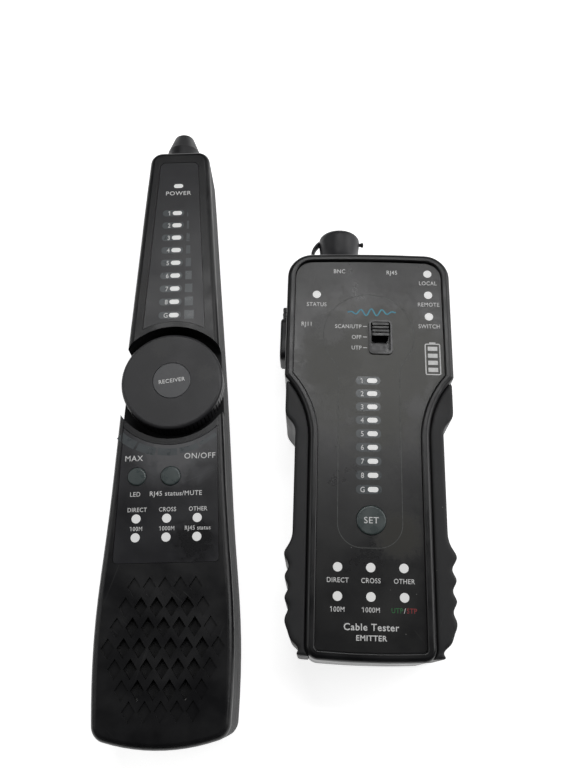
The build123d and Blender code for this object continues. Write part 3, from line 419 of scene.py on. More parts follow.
def dial_plastic():
    """Matt plastic of the dial, scuffed by thumbs."""
    made = Finish("dial_plastic", (0.030, 0.030, 0.033), 0.48)
    made.mottle((0.046, 0.046, 0.048), 0.8, 0.10, 0.06)
    made.patch(RECEIVER, (12.5, 2.5, 33.8), 4.0, (0.085, 0.085, 0.085), 0.5, 0.6, 1.2)
    made.patch(RECEIVER, (-4.0, 13.5, 33.8), 5.0, (0.080, 0.080, 0.080), 0.45, 0.6, 1.4)
    made.scratches(0.2, 0.5, (0.12, 0.12, 0.12), 3.0, 1.0)
    made.scratches(2.2, 0.5, (0.12, 0.12, 0.12), 2.4, 6.0)
    made.specks(0.7, 0.14, 0.10, DUST)
    made.grain(6.0, 0.012, 4.0)
    return made.done(Specular_IOR_Level=0.5)


def dial_cap_plastic():
    """Lighter disc in the middle of the dial."""
    made = Finish("dial_cap_plastic", (0.085, 0.087, 0.092), 0.42)
    made.mottle((0.12, 0.122, 0.128), 0.8, 0.30, 0.05)
    made.scratches(0.9, 0.4, (0.16, 0.16, 0.16), 3.0, 8.0)
    made.specks(1.1, 0.11, 0.12, (0.35, 0.34, 0.30))
    made.grain(6.0, 0.012, 4.0)
    return made.done(Specular_IOR_Level=0.5)


def key_plastic():
    """Smoky green-grey plastic of the round keys."""
    made = Finish("key_plastic", (0.058, 0.076, 0.076), 0.30)
    made.mottle((0.085, 0.105, 0.104), 0.8, 0.22, 0.05)
    made.specks(1.0, 0.10, 0.05, DUST)
    made.grain(5.0, 0.008, 3.0)
    return made.done(Specular_IOR_Level=0.5, Coat_Weight=0.15, Coat_Roughness=0.2)


def slider_plastic():
    """Black nylon of the slider."""
    made = Finish("slider_plastic", (0.010, 0.010, 0.011), 0.34)
    made.mottle((0.022, 0.022, 0.023), 0.7, 0.5, 0.08)
    made.grain(8.0, 0.006)
    return made.done(Specular_IOR_Level=0.5)


def tip_plastic():
    """Dull black plastic of the probe tip."""
    made = Finish("tip_plastic", (0.013, 0.013, 0.015), 0.46)
    made.mottle((0.024, 0.024, 0.026), 0.8, 0.25, 0.08)
    made.scratches(1.45, 0.5, (0.07, 0.07, 0.07), 3.0, 11.0)
    made.grain(7.0, 0.010)
    return made.done(Specular_IOR_Level=0.5)


def light_window():
    """Milky plastic over the lights, with a faint glow that keeps it white."""
    made = Finish("light_window", (0.93, 0.93, 0.92), 0.34)
    made.mottle((0.86, 0.86, 0.84), 0.6, 0.5, 0.05)
    made.grain(5.0, 0.004)
    return made.done(Emission_Color=(1, 1, 1), Emission_Strength=0.2)


def led_lens():
    """Clear-white resin of the diodes."""
    made = Finish("led_lens", (0.72, 0.73, 0.70), 0.12)
    made.mottle((0.62, 0.63, 0.56), 0.6, 0.9, 0.04)
    return made.done(Transmission_Weight=0.35, IOR=1.52)


def white_ink():
    """White screen printing, a little worn."""
    made = Finish("white_ink", (0.93, 0.93, 0.92), 0.5)
    made.mottle((0.72, 0.72, 0.72), 0.6, 0.9, 0.05)
    made.grain(9.0, 0.003)
    return made.done()


def coloured_ink(name, color, worn):
    """Coloured screen printing."""
    made = Finish(name, color, 0.5)
    made.mottle(worn, 0.8, 0.8, 0.05)
    made.grain(9.0, 0.003)
    return made.done()


def tinted_window():
    """Smoked film behind the wire numbers and on the level marks."""
    made = Finish("tinted_window", (0.058, 0.068, 0.073), 0.30)
    made.mottle((0.080, 0.094, 0.100), 0.8, 0.30, 0.04)
    made.specks(1.0, 0.10, 0.06, DUST)
    made.grain(5.0, 0.005)
    return made.done()


def board_laminate():
    """Green glass-fibre board with traces under its mask."""
    made = Finish("board_laminate", (0.012, 0.110, 0.045), 0.30)
    weave = made.noise(0.9, 2.0, made.at((0.25, 1.6, 1)))
    made.tint(made.span(weave, 0.53, 0.55, 0, 0.6), (0.03, 0.20, 0.08))
    made.mottle((0.010, 0.080, 0.035), 0.5, 0.2, 0.03)
    made.relief(made.span(weave, 0.52, 0.56), 0.03)
    return made.done(Coat_Weight=0.3, Coat_Roughness=0.15)


def component_plastic():
    """Moulded epoxy of chips and switch bodies."""
    made = Finish("component_plastic", (0.016, 0.016, 0.017), 0.55)
    made.mottle((0.030, 0.030, 0.031), 0.7, 0.4, 0.08)
    made.grain(8.0, 0.015, 4.0)
    return made.done()


def socket_plastic():
    """Black thermoplastic of the modular jacks."""
    made = Finish("socket_plastic", (0.014, 0.014, 0.015), 0.38)
    made.mottle((0.026, 0.026, 0.027), 0.7, 0.3, 0.06)
    made.grain(6.0, 0.008)
    return made.done()


def metal(name, color, worn, rough, brushed=3.0):
    """Bare or plated metal with fine drawing lines and tarnish."""
    made = Finish(name, color, rough)
    made.mottle(worn, 0.7, 0.35, 0.08)
    made.relief(made.noise(1.0, 2.0, made.at((0.2, brushed, brushed))), 0.006)
    return made.done(Metallic=1.0)


def insulator_white():
    """White plastic sleeve inside the coaxial jack."""
    made = Finish("insulator_white", (0.74, 0.74, 0.71), 0.35)
    made.mottle((0.62, 0.61, 0.55), 0.6, 0.3, 0.05)
    made.grain(6.0, 0.005)
    return made.done()


def battery_can():
    """Wrapped battery: dark label, lightly scratched."""
    made = Finish("battery_can", (0.018, 0.022, 0.045), 0.28)
    made.mottle((0.030, 0.034, 0.060), 0.6, 0.1, 0.05)
    made.scratches(0.1, 0.4, (0.4, 0.4, 0.4), 2.5, 1.5)
    made.grain(4.0, 0.010)
    return made.done(Metallic=0.35, Coat_Weight=0.3)


def speaker_paper():
    """Pulp paper of the speaker's cone."""
    made = Finish("speaker_paper", (0.045, 0.043, 0.040), 0.8)
    made.mottle((0.070, 0.067, 0.060), 0.8, 0.5, 0.05)
    made.grain(3.0, 0.05, 6.0)
    return made.done()


def speaker_cloth():
    """Fine woven dust cloth behind the grille."""
    made = Finish("speaker_cloth", (0.007, 0.007, 0.008), 0.8)
    weave = []
    for turn in (0.0, math.pi / 2):
        wave = made.node("ShaderNodeTexWave")
        made.put(made.at((1, 1, 1), turn + 0.001), wave.inputs["Vector"])
        wave.inputs["Scale"].default_value = 0.8
        wave.inputs["Distortion"].default_value = 0.4
        weave.append(wave.outputs["Fac"])
    threads = made.combine("MULTIPLY", *weave)
    made.tint(made.span(threads, 0.3, 0.9, 0, 0.8), (0.020, 0.020, 0.021))
    made.relief(threads, 0.08)
    return made.done(Sheen_Weight=0.15)


def ferrite():
    """Grey sintered rod."""
    made = Finish("ferrite", (0.075, 0.072, 0.072), 0.6)
    made.mottle((0.12, 0.115, 0.11), 0.8, 0.6, 0.08)
    made.grain(4.0, 0.03, 5.0)
    return made.done()


MATERIALS = {
    "emitter_case": emitter_case_plastic(),
    "receiver_case": receiver_case_plastic(),
    "grip": grip_rubber(),
    "rubber": cap_rubber(),
    "emitter_overlay": emitter_overlay(),
    "receiver_overlay": receiver_overlay(),
    "window": light_window(),
    "key": key_plastic(),
    "slider": slider_plastic(),
    "dial": dial_plastic(),
    "dial_cap": dial_cap_plastic(),
    "tip": tip_plastic(),
    "led": led_lens(),
    "board": board_laminate(),
    "component": component_plastic(),
    "socket": socket_plastic(),
    "contact": metal("contact_metal", (0.86, 0.62, 0.25), (0.60, 0.42, 0.18), 0.25),
    "plated": metal("plated_metal", (0.62, 0.61, 0.58), (0.42, 0.41, 0.38), 0.28),
    "insulator": insulator_white(),
    "screw": metal("screw_steel", (0.30, 0.30, 0.31), (0.16, 0.15, 0.14), 0.35),
    "battery": battery_can(),
    "speaker_steel": metal("speaker_steel", (0.48, 0.48, 0.47), (0.32, 0.31, 0.29), 0.35),
    "paper": speaker_paper(),
    "cloth": speaker_cloth(),
    "ferrite": ferrite(),
    "ink": white_ink(),
    "line_ink": coloured_ink("line_ink", (0.10, 0.105, 0.10), (0.05, 0.05, 0.05)),
    "green_ink": coloured_ink("green_ink", (0.035, 0.22, 0.065), (0.02, 0.12, 0.04)),
    "red_ink": coloured_ink("red_ink", (0.42, 0.045, 0.05), (0.22, 0.03, 0.03)),
    "teal_ink": coloured_ink("teal_ink", (0.07, 0.42, 0.52), (0.10, 0.25, 0.42)),
    "tint": tinted_window(),
}

NODE_MATERIALS = {
    "emitter_case": ["emitter_front_shell", "emitter_rear_shell", "emitter_battery_door"],
    "receiver_case": ["receiver_front_shell", "receiver_rear_shell", "receiver_battery_door"],
    "grip": ["emitter_grip_left", "emitter_grip_right"],
    "rubber": ["emitter_bnc_cap", "emitter_bnc_strap", "emitter_rj11_cover", "emitter_rj11_anchor",
               "emitter_battery_snap", "receiver_battery_snap"],
    "emitter_overlay": ["emitter_face_panel"],
    "receiver_overlay": ["receiver_head_panel", "receiver_keypad_panel"],
    "window": ["emitter_light_windows", "receiver_light_windows"],
    "key": ["emitter_set_key", "receiver_lamp_key", "receiver_mute_key"],
    "slider": ["emitter_slide_knob"],
    "dial": ["receiver_dial"],
    "dial_cap": ["receiver_dial_cap"],
    "tip": ["receiver_probe_tip"],
    "led": ["emitter_leds", "receiver_leds", "receiver_lamp"],
    "board": ["emitter_circuit_board", "receiver_circuit_board", "receiver_port_board"],
    "component": ["emitter_board_parts", "emitter_set_switch", "emitter_set_plunger",
                  "emitter_slide_switch", "receiver_board_parts", "receiver_key_switches",
                  "receiver_lamp_plunger", "receiver_mute_plunger", "receiver_potentiometer",
                  "receiver_pot_shaft"],
    "socket": ["emitter_rj45_jack", "emitter_rj11_jack", "receiver_rj45_jack"],
    "contact": ["emitter_rj45_contacts", "emitter_rj11_contacts", "receiver_rj45_contacts",
                "emitter_bnc_contact"],
    "plated": ["emitter_bnc_jack", "emitter_bnc_nut"],
    "insulator": ["emitter_bnc_insulator"],
    "screw": ["emitter_screws", "receiver_screws"],
    "battery": ["emitter_battery", "receiver_battery"],
    "speaker_steel": ["receiver_speaker_frame"],
    "paper": ["receiver_speaker_cone"],
    "cloth": ["receiver_speaker_mesh"],
    "ferrite": ["receiver_probe_rod"],
}


def dress_nodes():
    """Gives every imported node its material."""
    for key, nodes in NODE_MATERIALS.items():
        for node in nodes:
            mesh = frame["nodes"][node].data
            mesh.materials.clear()
            mesh.materials.append(MATERIALS[key])


# ---------------------------------------------------------------- making pieces

def as_object(name, bm, material):
    """Object in the row frame from a finished bmesh, smooth except at sharp edges."""
    bmesh.ops.recalc_face_normals(bm, faces=bm.faces)
    mesh = bpy.data.meshes.new(name)
    bm.to_mesh(mesh)
    bm.free()
    mesh.materials.append(MATERIALS[material])
    mesh.shade_smooth()
    mesh.set_sharp_from_angle(angle=SHARP_ANGLE)
    obj = bpy.data.objects.new(name, mesh)
    bpy.context.scene.collection.objects.link(obj)
    return obj


def piece(name, unit, body, bm, material):
    """Piece modelled in a unit's millimetres, riding on a body."""
    bm.transform(unit.to_row)
    obj = as_object(name, bm, material)
    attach(obj, body)
    return obj


def lathe(bm, profile, frame_of_axis, segments=CAP_SEGMENTS):
    """Closed profile of (radius, height) pairs turned about the z axis of a frame."""
    rings = []
    for step in range(segments):
        angle = math.tau * step / segments
        around = [(r * math.cos(angle), r * math.sin(angle), h) for r, h in profile]
        rings.append([bm.verts.new(frame_of_axis @ Vector(p)) for p in around])
    for step in range(segments):
        one, two = rings[step], rings[(step + 1) % segments]
        for i in range(len(profile)):
            j = (i + 1) % len(profile)
            bm.faces.new((one[i], one[j], two[j], two[i]))
    bmesh.ops.remove_doubles(bm, verts=bm.verts, dist=0.001)


def arc(centre, radius, start_deg, end_deg, steps=12):
    """Points along a circular arc, both ends included."""
    angles = [math.radians(start_deg + (end_deg - start_deg) * i / steps) for i in range(steps + 1)]
    return [(centre[0] + radius * math.cos(a), centre[1] + radius * math.sin(a)) for a in angles]


def rounded_box(centre, size, radius):
    """Outline of a rectangle with round corners."""
    x, y = size[0] / 2 - radius, size[1] / 2 - radius
    corners = [(x, y, 0), (-x, y, 90), (-x, -y, 180), (x, -y, 270)]
    points = [p for cx, cy, turn in corners for p in arc((cx, cy), radius, turn, turn + 90, 6)]
    return [(centre[0] + px, centre[1] + py) for px, py in points]


def add_plate(bm, outline, low, high):
    """Flat plate with a closed outline."""
    bottom = [bm.verts.new((x, y, low)) for x, y in outline]
    top = [bm.verts.new((x, y, high)) for x, y in outline]
    bm.faces.new(reversed(bottom))
    bm.faces.new(top)
    count = len(outline)
    for i in range(count):
        j = (i + 1) % count
        bm.faces.new((bottom[i], bottom[j], top[j], top[i]))


def add_ring(bm, outline, hole, low, high):
    """Flat plate with a hole, from two outlines that have as many points as each other."""
    rows = []
    for outer, inner in zip(outline, hole):
        corners = ((*outer, low), (*outer, high), (*inner, high), (*inner, low))
        rows.append([bm.verts.new(corner) for corner in corners])
    for one, two in zip(rows, rows[1:] + rows[:1]):
        for k in range(4):
            bm.faces.new((one[k], one[(k + 1) % 4], two[(k + 1) % 4], two[k]))


def add_line(bm, points, width, low, high, closed=True):
    """Printed line of an even width along a path."""
    count = len(points)
    rows = []
    for i, point in enumerate(points):
        before = Vector(points[(i - 1) % count if closed else max(i - 1, 0)])
        after = Vector(points[(i + 1) % count if closed else min(i + 1, count - 1)])
        along = (after - before).normalized()
        side = Vector((-along.y, along.x)) * width / 2
        ends = (Vector(point) + side, Vector(point) - side)
        rows.append([bm.verts.new((*end, z)) for end, z in
                     ((ends[0], low), (ends[0], high), (ends[1], high), (ends[1], low))])
    for i in range(count if closed else count - 1):
        one, two = rows[i], rows[(i + 1) % count]
        for k in range(4):
            bm.faces.new((one[k], one[(k + 1) % 4], two[(k + 1) % 4], two[k]))
    if not closed:
        bm.faces.new(rows[0])
        bm.faces.new(reversed(rows[-1]))


def add_text(bm, words, at, height, low, high, align="CENTER", turn_deg=0.0, weight=TEXT_WEIGHT,
             squeeze=TEXT_SQUEEZE):
    """Raised lettering whose capitals have the given height, centred up and down on a point.

    The typeface's 1 is a plain bar, so a word that starts with one gets a flag on it.
    """
    curve = bpy.data.curves.new("words", "FONT")
    curve.body = words
    curve.size = height / CAP_SHARE
    curve.align_x = align
    curve.resolution_u = 4
    curve.space_character = TEXT_SPACING
    curve.extrude = (high - low) / 2
    curve.offset = weight
    holder = bpy.data.objects.new("words", curve)
    bpy.context.scene.collection.objects.link(holder)
    bpy.context.view_layer.update()
    evaluated = holder.evaluated_get(bpy.context.evaluated_depsgraph_get())
    mesh = bpy.data.meshes.new_from_object(evaluated)
    place = Matrix.Translation((at[0], at[1], (low + high) / 2))
    place = place @ Matrix.Rotation(math.radians(turn_deg), 4, "Z")
    mesh.transform(place @ Matrix.Diagonal((squeeze, 1, 1, 1)) @ Matrix.Translation((0, -height / 2, 0)))
    bm.from_mesh(mesh)
    if words.startswith("1"):
        left, top = min(v.co.x for v in mesh.vertices), at[1] + height / 2
        flag = [(left + x * height, top + y * height) for x, y in (FLAG_START, FLAG_END)]
        add_line(bm, flag, FLAG_WIDTH * height, low, high, False)
    bpy.data.objects.remove(holder)
    bpy.data.curves.remove(curve)
    bpy.data.meshes.remove(mesh)


class Print:
    """One ink's marks on one face of a unit, gathered into one piece."""

    def __init__(self, face_z, lift=INK_LIFT):
        self.bm = bmesh.new()
        self.low = face_z - INK_SINK
        self.high = face_z + lift

    def text(self, words, at, height, **style):
        add_text(self.bm, words, at, height, self.low, self.high, **style)

    def plate(self, outline):
        add_plate(self.bm, outline, self.low, self.high)

    def line(self, points, width, closed=True):
        add_line(self.bm, points, width, self.low, self.high, closed)

    def light_pill(self, light, shift, size):
        """Smoked window round a wire number and its bar light, which shows through a hole."""
        outline = rounded_box((light.x + shift, light.y), size, size[1] / 2 - 0.1)
        hole = rounded_box((light.x, light.y), BAR_HOLE, BAR_HOLE[1] / 2 - 0.02)
        add_ring(self.bm, outline, hole, self.low, self.high)

    def make(self, name, unit, body, material):
        return piece(name, unit, body, self.bm, material)


# ---------------------------------------------------------------- emitter's printing

LABEL = 1.7
DIGIT = 2.0
BAR_HOLE = (3.84, 1.94)
WIRE_MARKS = "12345678G"


def keyhole_path():
    """Line that frames the switch, the wire lights and the key: a circle on a long slot."""
    head, head_y, neck, round_in = 17.1, 41.0, 11.3, 6.0
    foot_y, foot_round = -39.2, 8.5
    drop = math.sqrt((head + round_in) ** 2 - (neck + round_in) ** 2)
    lean = math.degrees(math.atan2(drop, neck + round_in))
    path = arc((neck + round_in, head_y - drop), round_in, 180, 180 - lean)
    path += arc((0, head_y), head, -lean, 180 + lean, 60)
    path += arc((-neck - round_in, head_y - drop), round_in, lean, 0)
    path += arc((-neck + foot_round, foot_y + foot_round), foot_round, 180, 270)
    return path + arc((neck - foot_round, foot_y + foot_round), foot_round, 270, 360)


def wave_path():
    """Ripple that swells to its middle and dies away at both ends."""
    start, mid_y, step, height, turn, steps = -8.0, 50.6, 0.4, 1.5, 0.62, 46
    swell = [height * math.sin(math.pi * i / steps) for i in range(steps + 1)]
    return [(start + step * i, mid_y + swell[i] * math.sin(turn * i)) for i in range(steps + 1)]


def battery_mark(ink, at):
    """Battery symbol with four charge bars."""
    width, height, bar, pitch = 5.4, 12.3, (3.6, 1.7), 2.85
    ink.line(rounded_box(at, (width, height), 0.5), 0.42)
    ink.plate(rounded_box((at[0], at[1] + height / 2 + 0.45), (2.4, 0.6), 0.2))
    for row in range(4):
        ink.plate(rounded_box((at[0], at[1] + pitch * (1.5 - row)), bar, 0.12))


def emitter_printing():
    """Everything printed on the emitter's face."""
    face = EMITTER.box("emitter_face_panel")[1].z
    bars, rounds = lights_of(EMITTER, "emitter_light_windows")
    right = sorted([p for p in rounds if p.x > 20], key=lambda p: -p.y)
    status = next(p for p in rounds if p.x < -15)
    upper, lower = (sorted(rounds[i:i + 3], key=lambda p: p.x) for i in (4, 7))
    switch = middle(EMITTER.box("emitter_slide_switch"))

    ink = Print(face)
    ink.text("BNC", (-11.2, 68.3), 1.8)
    ink.text("RJ45", (9.2, 68.0), 1.8)
    ink.text("RJ11", (status.x - 3.6, status.y - 12.6), 1.8)
    for light, word in zip(right, ("LOCAL", "REMOTE", "SWITCH")):
        ink.text(word, (light.x, light.y - 4.0), LABEL)
    ink.text("STATUS", (status.x, status.y - 4.2), LABEL)
    for place, word in zip((4.4, 0.0, -4.4), ("SCAN/UTP", "OFF", "UTP")):
        ink.text(word, (switch.x - 7.2, switch.y + place), 1.65, align="RIGHT")
        ink.line([(switch.x - 6.6, switch.y + place), (switch.x - 5.1, switch.y + place)], 0.32, False)
    for light, word in zip(upper, ("DIRECT", "CROSS", "OTHER")):
        ink.text(word, (light.x, light.y - 4.3), LABEL)
    for light, word in zip(lower, ("100M", "1000M")):
        ink.text(word, (light.x, light.y - 4.2), LABEL)
    ink.text("/", (lower[2].x, lower[2].y - 4.2), LABEL)
    ink.text("Cable Tester", (0.1, -65.2), 2.3, weight=0.05, squeeze=1.0)
    ink.text("EMITTER", (0.1, -68.7), 1.8, weight=0.05, squeeze=1.0)
    for light, digit in zip(bars, WIRE_MARKS):
        ink.text(digit, (light.x - 3.7, light.y), DIGIT)
    battery_mark(ink, (23.9, 31.5))
    ink.make("emitter_legends", EMITTER, "emitter", "ink")

    green = Print(face)
    green.text("UTP", (lower[2].x - 0.6, lower[2].y - 4.2), LABEL, align="RIGHT")
    green.make("emitter_legend_green", EMITTER, "emitter", "green_ink")
    red = Print(face)
    red.text("STP", (lower[2].x + 0.6, lower[2].y - 4.2), LABEL, align="LEFT")
    red.make("emitter_legend_red", EMITTER, "emitter", "red_ink")

    line = Print(face)
    line.line(keyhole_path(), 0.26)
    line.make("emitter_frame_line", EMITTER, "emitter", "line_ink")

    wave = Print(face)
    wave.line(wave_path(), 0.55, False)
    wave.make("emitter_wave_mark", EMITTER, "emitter", "teal_ink")

    tint = Print(face, TINT_LIFT)
    for light in bars:
        tint.light_pill(light, -1.5, (9.1, 3.2))
    tint.make("emitter_number_windows", EMITTER, "emitter", "tint")


def emitter_key_printing():
    """Word on the emitter's key."""
    low, high = EMITTER.box("emitter_set_key")
    ink = Print(high.z)
    ink.text("SET", ((low.x + high.x) / 2, (low.y + high.y) / 2), 2.3, squeeze=1.0)
    ink.make("emitter_set_legend", EMITTER, "set_key", "ink")


# ---------------------------------------------------------------- receiver's printing

# Level marks beside the wire lights, which widen down the head
LEVEL_OFF = 4.0
LEVEL_STEP = 0.4
LEVEL_TALL = 3.7

# Volume marks below the dial, which thin out from left to right; angles in degrees
VOLUME_RADIUS = 25.9
VOLUME_START = -131.6
VOLUME_PITCH = 16.4
VOLUME_SPAN = 14.6
VOLUME_THICK = (3.1, 2.9, 2.6, 2.1, 1.4)


def receiver_printing():
    """Everything printed on the receiver's two faces."""
    face = RECEIVER.box("receiver_keypad_panel")[1].z
    bars, rounds = lights_of(RECEIVER, "receiver_light_windows")
    power, wires = bars[0], bars[1:]
    upper, lower = (sorted(rounds[i:i + 3], key=lambda p: p.x) for i in (0, 3))
    lamp_key = middle(RECEIVER.box("receiver_lamp_key"))
    mute_key = middle(RECEIVER.box("receiver_mute_key"))

    ink = Print(face)
    ink.text("POWER", (power.x, power.y - 3.4), 1.9, squeeze=1.08)
    for light, digit in zip(wires, WIRE_MARKS):
        ink.text(digit, (light.x - 3.1, light.y), DIGIT)
    ink.text("MAX", (-12.7, -29.2), 2.1, squeeze=1.0)
    ink.text("ON/OFF", (10.9, -28.7), 2.1, squeeze=1.0)
    ink.text("LED", (lamp_key.x - 0.3, lamp_key.y - 6.3), LABEL)
    ink.text("RJ45 status/MUTE", (mute_key.x + 2.0, mute_key.y - 6.2), LABEL, squeeze=0.98)
    for light, word in zip(upper, ("DIRECT", "CROSS", "OTHER")):
        ink.text(word, (light.x + 0.2, light.y + 3.2), 1.55)
    for light, word in zip(lower, ("100M", "1000M", "RJ45 status")):
        ink.text(word, (light.x + 0.2, light.y + 3.1), 1.5)
    ink.make("receiver_legends", RECEIVER, "receiver", "ink")

    tint = Print(face, TINT_LIFT)
    for row, light in enumerate(wires):
        tint.light_pill(light, -1.55, (8.6, 2.9))
        width = LEVEL_STEP * (row + 1)
        level_at = (light.x + LEVEL_OFF + width / 2, light.y + 0.1)
        tint.plate(rounded_box(level_at, (width, LEVEL_TALL), 0.1))
    for part, thick in enumerate(VOLUME_THICK):
        start = VOLUME_START + VOLUME_PITCH * part
        outer = arc((0, 0), VOLUME_RADIUS + thick, start, start + VOLUME_SPAN)
        tint.plate(outer + arc((0, 0), VOLUME_RADIUS, start + VOLUME_SPAN, start))
    tint.make("receiver_level_marks", RECEIVER, "receiver", "tint")


def dial_printing():
    """Word on the dial's cap, which turns with it."""
    top = RECEIVER.box("receiver_dial_cap")[1].z
    ink = Print(top)
    ink.text("RECEIVER", (0, 0), 1.55, turn_deg=7.0, weight=0.03, squeeze=1.0)
    ink.make("receiver_dial_legend", RECEIVER, "dial", "ink")


# ---------------------------------------------------------------- soft and rounded pieces

def softened(node, unit):
    """A node's shape in its unit's millimetres, remeshed finely and smoothed to round edges."""
    mesh = frame["nodes"][node].data.copy()
    mesh.transform(unit.to_unit)
    holder = bpy.data.objects.new("softened", mesh)
    bpy.context.scene.collection.objects.link(holder)
    remesh = holder.modifiers.new("remesh", "REMESH")
    remesh.mode = "VOXEL"
    remesh.voxel_size = GRIP_VOXEL
    smooth = holder.modifiers.new("smooth", "SMOOTH")
    smooth.iterations = GRIP_SMOOTHING
    fewer = holder.modifiers.new("fewer", "DECIMATE")
    fewer.ratio = GRIP_KEEP
    evaluated = holder.evaluated_get(bpy.context.evaluated_depsgraph_get())
    bm = bmesh.new()
    bm.from_mesh(evaluated.data)
    bpy.data.objects.remove(holder)
    bpy.data.meshes.remove(mesh)
    return bm


def grips():
    """Side grips with soft rounded edges."""
    for side in ("left", "right"):
        node = "emitter_grip_" + side
        bm = softened(node, EMITTER)
        grip = piece("emitter_soft_grip_" + side, EMITTER, "emitter", bm, "grip")
        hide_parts(node)


def bnc_axis():
    """Frame whose z axis runs out along the coaxial jack, from the case's head end."""
    low, high = EMITTER.box("emitter_bnc_jack")
    head_y = EMITTER.box("emitter_front_shell")[1].y
    return Matrix.Translation(((low.x + high.x) / 2, head_y, (low.z + high.z) / 2)) @ Matrix.Rotation(
        -math.pi / 2, 4, "X")


def dust_cap():
    """Dust cap: rolled lip, slightly waisted wall, domed end, hollow inside, and a pull stub."""
    low, high = EMITTER.box("emitter_bnc_cap")
    axis = bnc_axis()
    head_y = axis.translation.y
    start, end = low.y - head_y, high.y - head_y
    radius = axis.translation.z - low.z
    crown_x = radius - 0.08 - CAP_RIM
    crown = [(crown_x + r, end - CAP_RIM + h) for r, h in arc((0, 0), CAP_RIM, 0, 84, 10)]
    wall = [(radius - 0.55, start), (radius - 0.3, start + 0.4), (radius - 0.3, start + 1.4),
            (radius - 0.6, start + 2.2), (radius - 0.55, end - 7.5), (radius - 0.2, end - 4.2)]
    top = [(radius - 3.6, end), (radius - 4.4, end - 0.05), (radius - 4.8, end - 0.3), (0, end - 0.3)]
    bore = [(0, start + 11.5), (5.6, start + 11.5), (5.6, start + 2.1), (7.0, start + 2.1), (7.0, start)]
    bm = bmesh.new()
    lathe(bm, wall + crown + top + bore, axis)
    reach = high.x - axis.translation.x
    stub = Matrix.Translation((axis.translation.x + radius - 1.0, high.y - 2.9, axis.translation.z))
    stub = stub @ Matrix.Rotation(math.pi / 2, 4, "Y")
    tip = reach - radius + 1.0
    knob = [(0, 0), (0.95, 0), (0.72, 0.9), (0.72, tip - 1.3), (1.0, tip - 0.8), (1.0, tip - 0.35),
            (0.8, tip - 0.1), (0.4, tip), (0, tip)]
    lathe(bm, knob, stub, 24)
    cap = piece("emitter_dust_cap", EMITTER, "bnc_cap", bm, "rubber")
    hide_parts("emitter_bnc_cap")


def strap_section(width, thick):
    """Rounded cross-section of the strap: across its width, and through its thickness."""
    return rounded_box((0, 0), (width, thick), thick * 0.42)


def cap_strap():
    """Tether ring behind the cap and the strap that arches beside it."""
    low, high = EMITTER.box("emitter_bnc_strap")
    axis = bnc_axis()
    x, head_y, z = axis.translation
    cap_radius = z - EMITTER.box("emitter_bnc_cap")[0].z
    ring_low, ring_high, ring_radius = 0.1, 1.3, cap_radius - 0.3
    ring = [(5.0, ring_low), (ring_radius - 0.3, ring_low), (ring_radius, ring_low + 0.3),
            (ring_radius, ring_high - 0.3), (ring_radius - 0.3, ring_high), (5.0, ring_high)]
    bm = bmesh.new()
    lathe(bm, ring, axis)
    foot = Vector((x - ring_radius + 0.9, head_y + 0.7))
    bulge = Vector((low.x + 0.65, head_y + 7.0))
    tail = Vector((x - cap_radius + 0.15, high.y - 0.75))
    steps = 28
    section = strap_section(3.6, 1.2)
    rows = []
    for i in range(steps + 1):
        t = i / steps
        lift = 2 * bulge - (foot + tail) / 2
        centre = foot * (1 - t) ** 2 + lift * 2 * t * (1 - t) + tail * t * t
        along = ((lift - foot) * (1 - t) + (tail - lift) * t).normalized()
        side = Vector((-along.y, along.x))
        around = [(*(centre + side * through), z + across) for across, through in section]
        rows.append([bm.verts.new(corner) for corner in around])
    count = len(section)
    for one, two in zip(rows, rows[1:]):
        for k in range(count):
            bm.faces.new((one[k], one[(k + 1) % count], two[(k + 1) % count], two[k]))
    bm.faces.new(rows[0])
    bm.faces.new(reversed(rows[-1]))
    bm.transform(EMITTER.to_row)
    strap = as_object("emitter_cap_strap", bm, "rubber")
    start = EMITTER.row((x, head_y + ring_high + 0.2, z))
    end = EMITTER.row((x, high.y - 1.0, z))
    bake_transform(strap)
    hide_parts("emitter_bnc_strap")


# ---------------------------------------------------------------- stage, lights and camera

FLOOR_REACH = 6.0
FLOOR_Z = -0.0001
FLOOR_GLOW = 0.85
WORLD_STRENGTH = 0.022


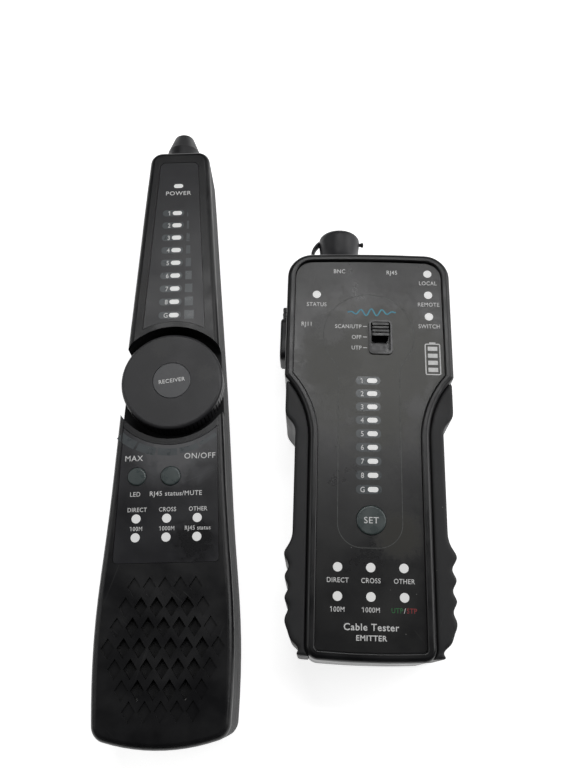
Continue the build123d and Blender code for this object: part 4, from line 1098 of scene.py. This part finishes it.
def floor():
    """Plain pale floor, which glows a little so that it comes out as white as the photo's."""
    bm = bmesh.new()
    corners = [(-1, -1), (1, -1), (1, 1), (-1, 1)]
    bm.faces.new([bm.verts.new((x * FLOOR_REACH, y * FLOOR_REACH, FLOOR_Z)) for x, y in corners])
    mesh = bpy.data.meshes.new("floor")
    bm.to_mesh(mesh)
    bm.free()
    made = Finish("floor_white", (0.90, 0.90, 0.90), 0.85)
    made.mottle((0.88, 0.88, 0.88), 0.5, 0.02, 0.02)
    white = made.done(Specular_IOR_Level=0.2, Emission_Color=(1, 1, 1), Emission_Strength=FLOOR_GLOW)
    mesh.materials.append(white)
    obj = bpy.data.objects.new("floor", mesh)
    bpy.context.scene.collection.objects.link(obj)


def softbox(name, place, size, power):
    """White rectangular soft light that faces the middle of the floor."""
    light = bpy.data.lights.new(name, "AREA")
    light.shape = "RECTANGLE"
    light.size, light.size_y = size
    light.energy = power
    obj = bpy.data.objects.new(name, light)
    obj.location = place
    obj.rotation_euler = (-Vector(place)).to_track_quat("-Z", "Y").to_euler()
    bpy.context.scene.collection.objects.link(obj)


def lighting():
    """Faint white surroundings, a softbox that the faces mirror, and broad ones at the sides."""
    world = bpy.data.worlds.new("surroundings")
    world.use_nodes = True
    back = world.node_tree.nodes["Background"]
    back.inputs["Color"].default_value = (1, 1, 1, 1)
    back.inputs["Strength"].default_value = WORLD_STRENGTH
    bpy.context.scene.world = world
    softbox("softbox_head", (0.05, 0.43, 0.95), (0.6, 0.20), 2.7)
    softbox("softbox_left", (-1.3, 0.3, 0.9), (1.0, 1.0), 3.9)
    softbox("softbox_right", (1.2, 0.4, 0.85), (1.0, 1.0), 9.0)
    bpy.context.scene.view_settings.view_transform = "Standard"


def camera():
    """Camera over the near end of the units, tilted towards their heads."""
    data = bpy.data.cameras.new("camera")
    data.lens = CAMERA_LENS
    data.sensor_width = 36.0
    data.sensor_fit = "AUTO"
    data.clip_start = 0.01
    obj = bpy.data.objects.new("camera", data)
    dial = joint("dial_turn")["pos_m"]
    obj.location = (dial[0] + CAMERA_FROM_DIAL[0], dial[1] + CAMERA_FROM_DIAL[1], CAMERA_HEIGHT)
    obj.rotation_euler = (CAMERA_TILT, CAMERA_PAN, 0)
    bpy.context.scene.collection.objects.link(obj)
    bpy.context.scene.camera = obj


dress_nodes()
emitter_printing()
emitter_key_printing()
receiver_printing()
dial_printing()
grips()
dust_cap()
cap_strap()
floor()
lighting()
camera()
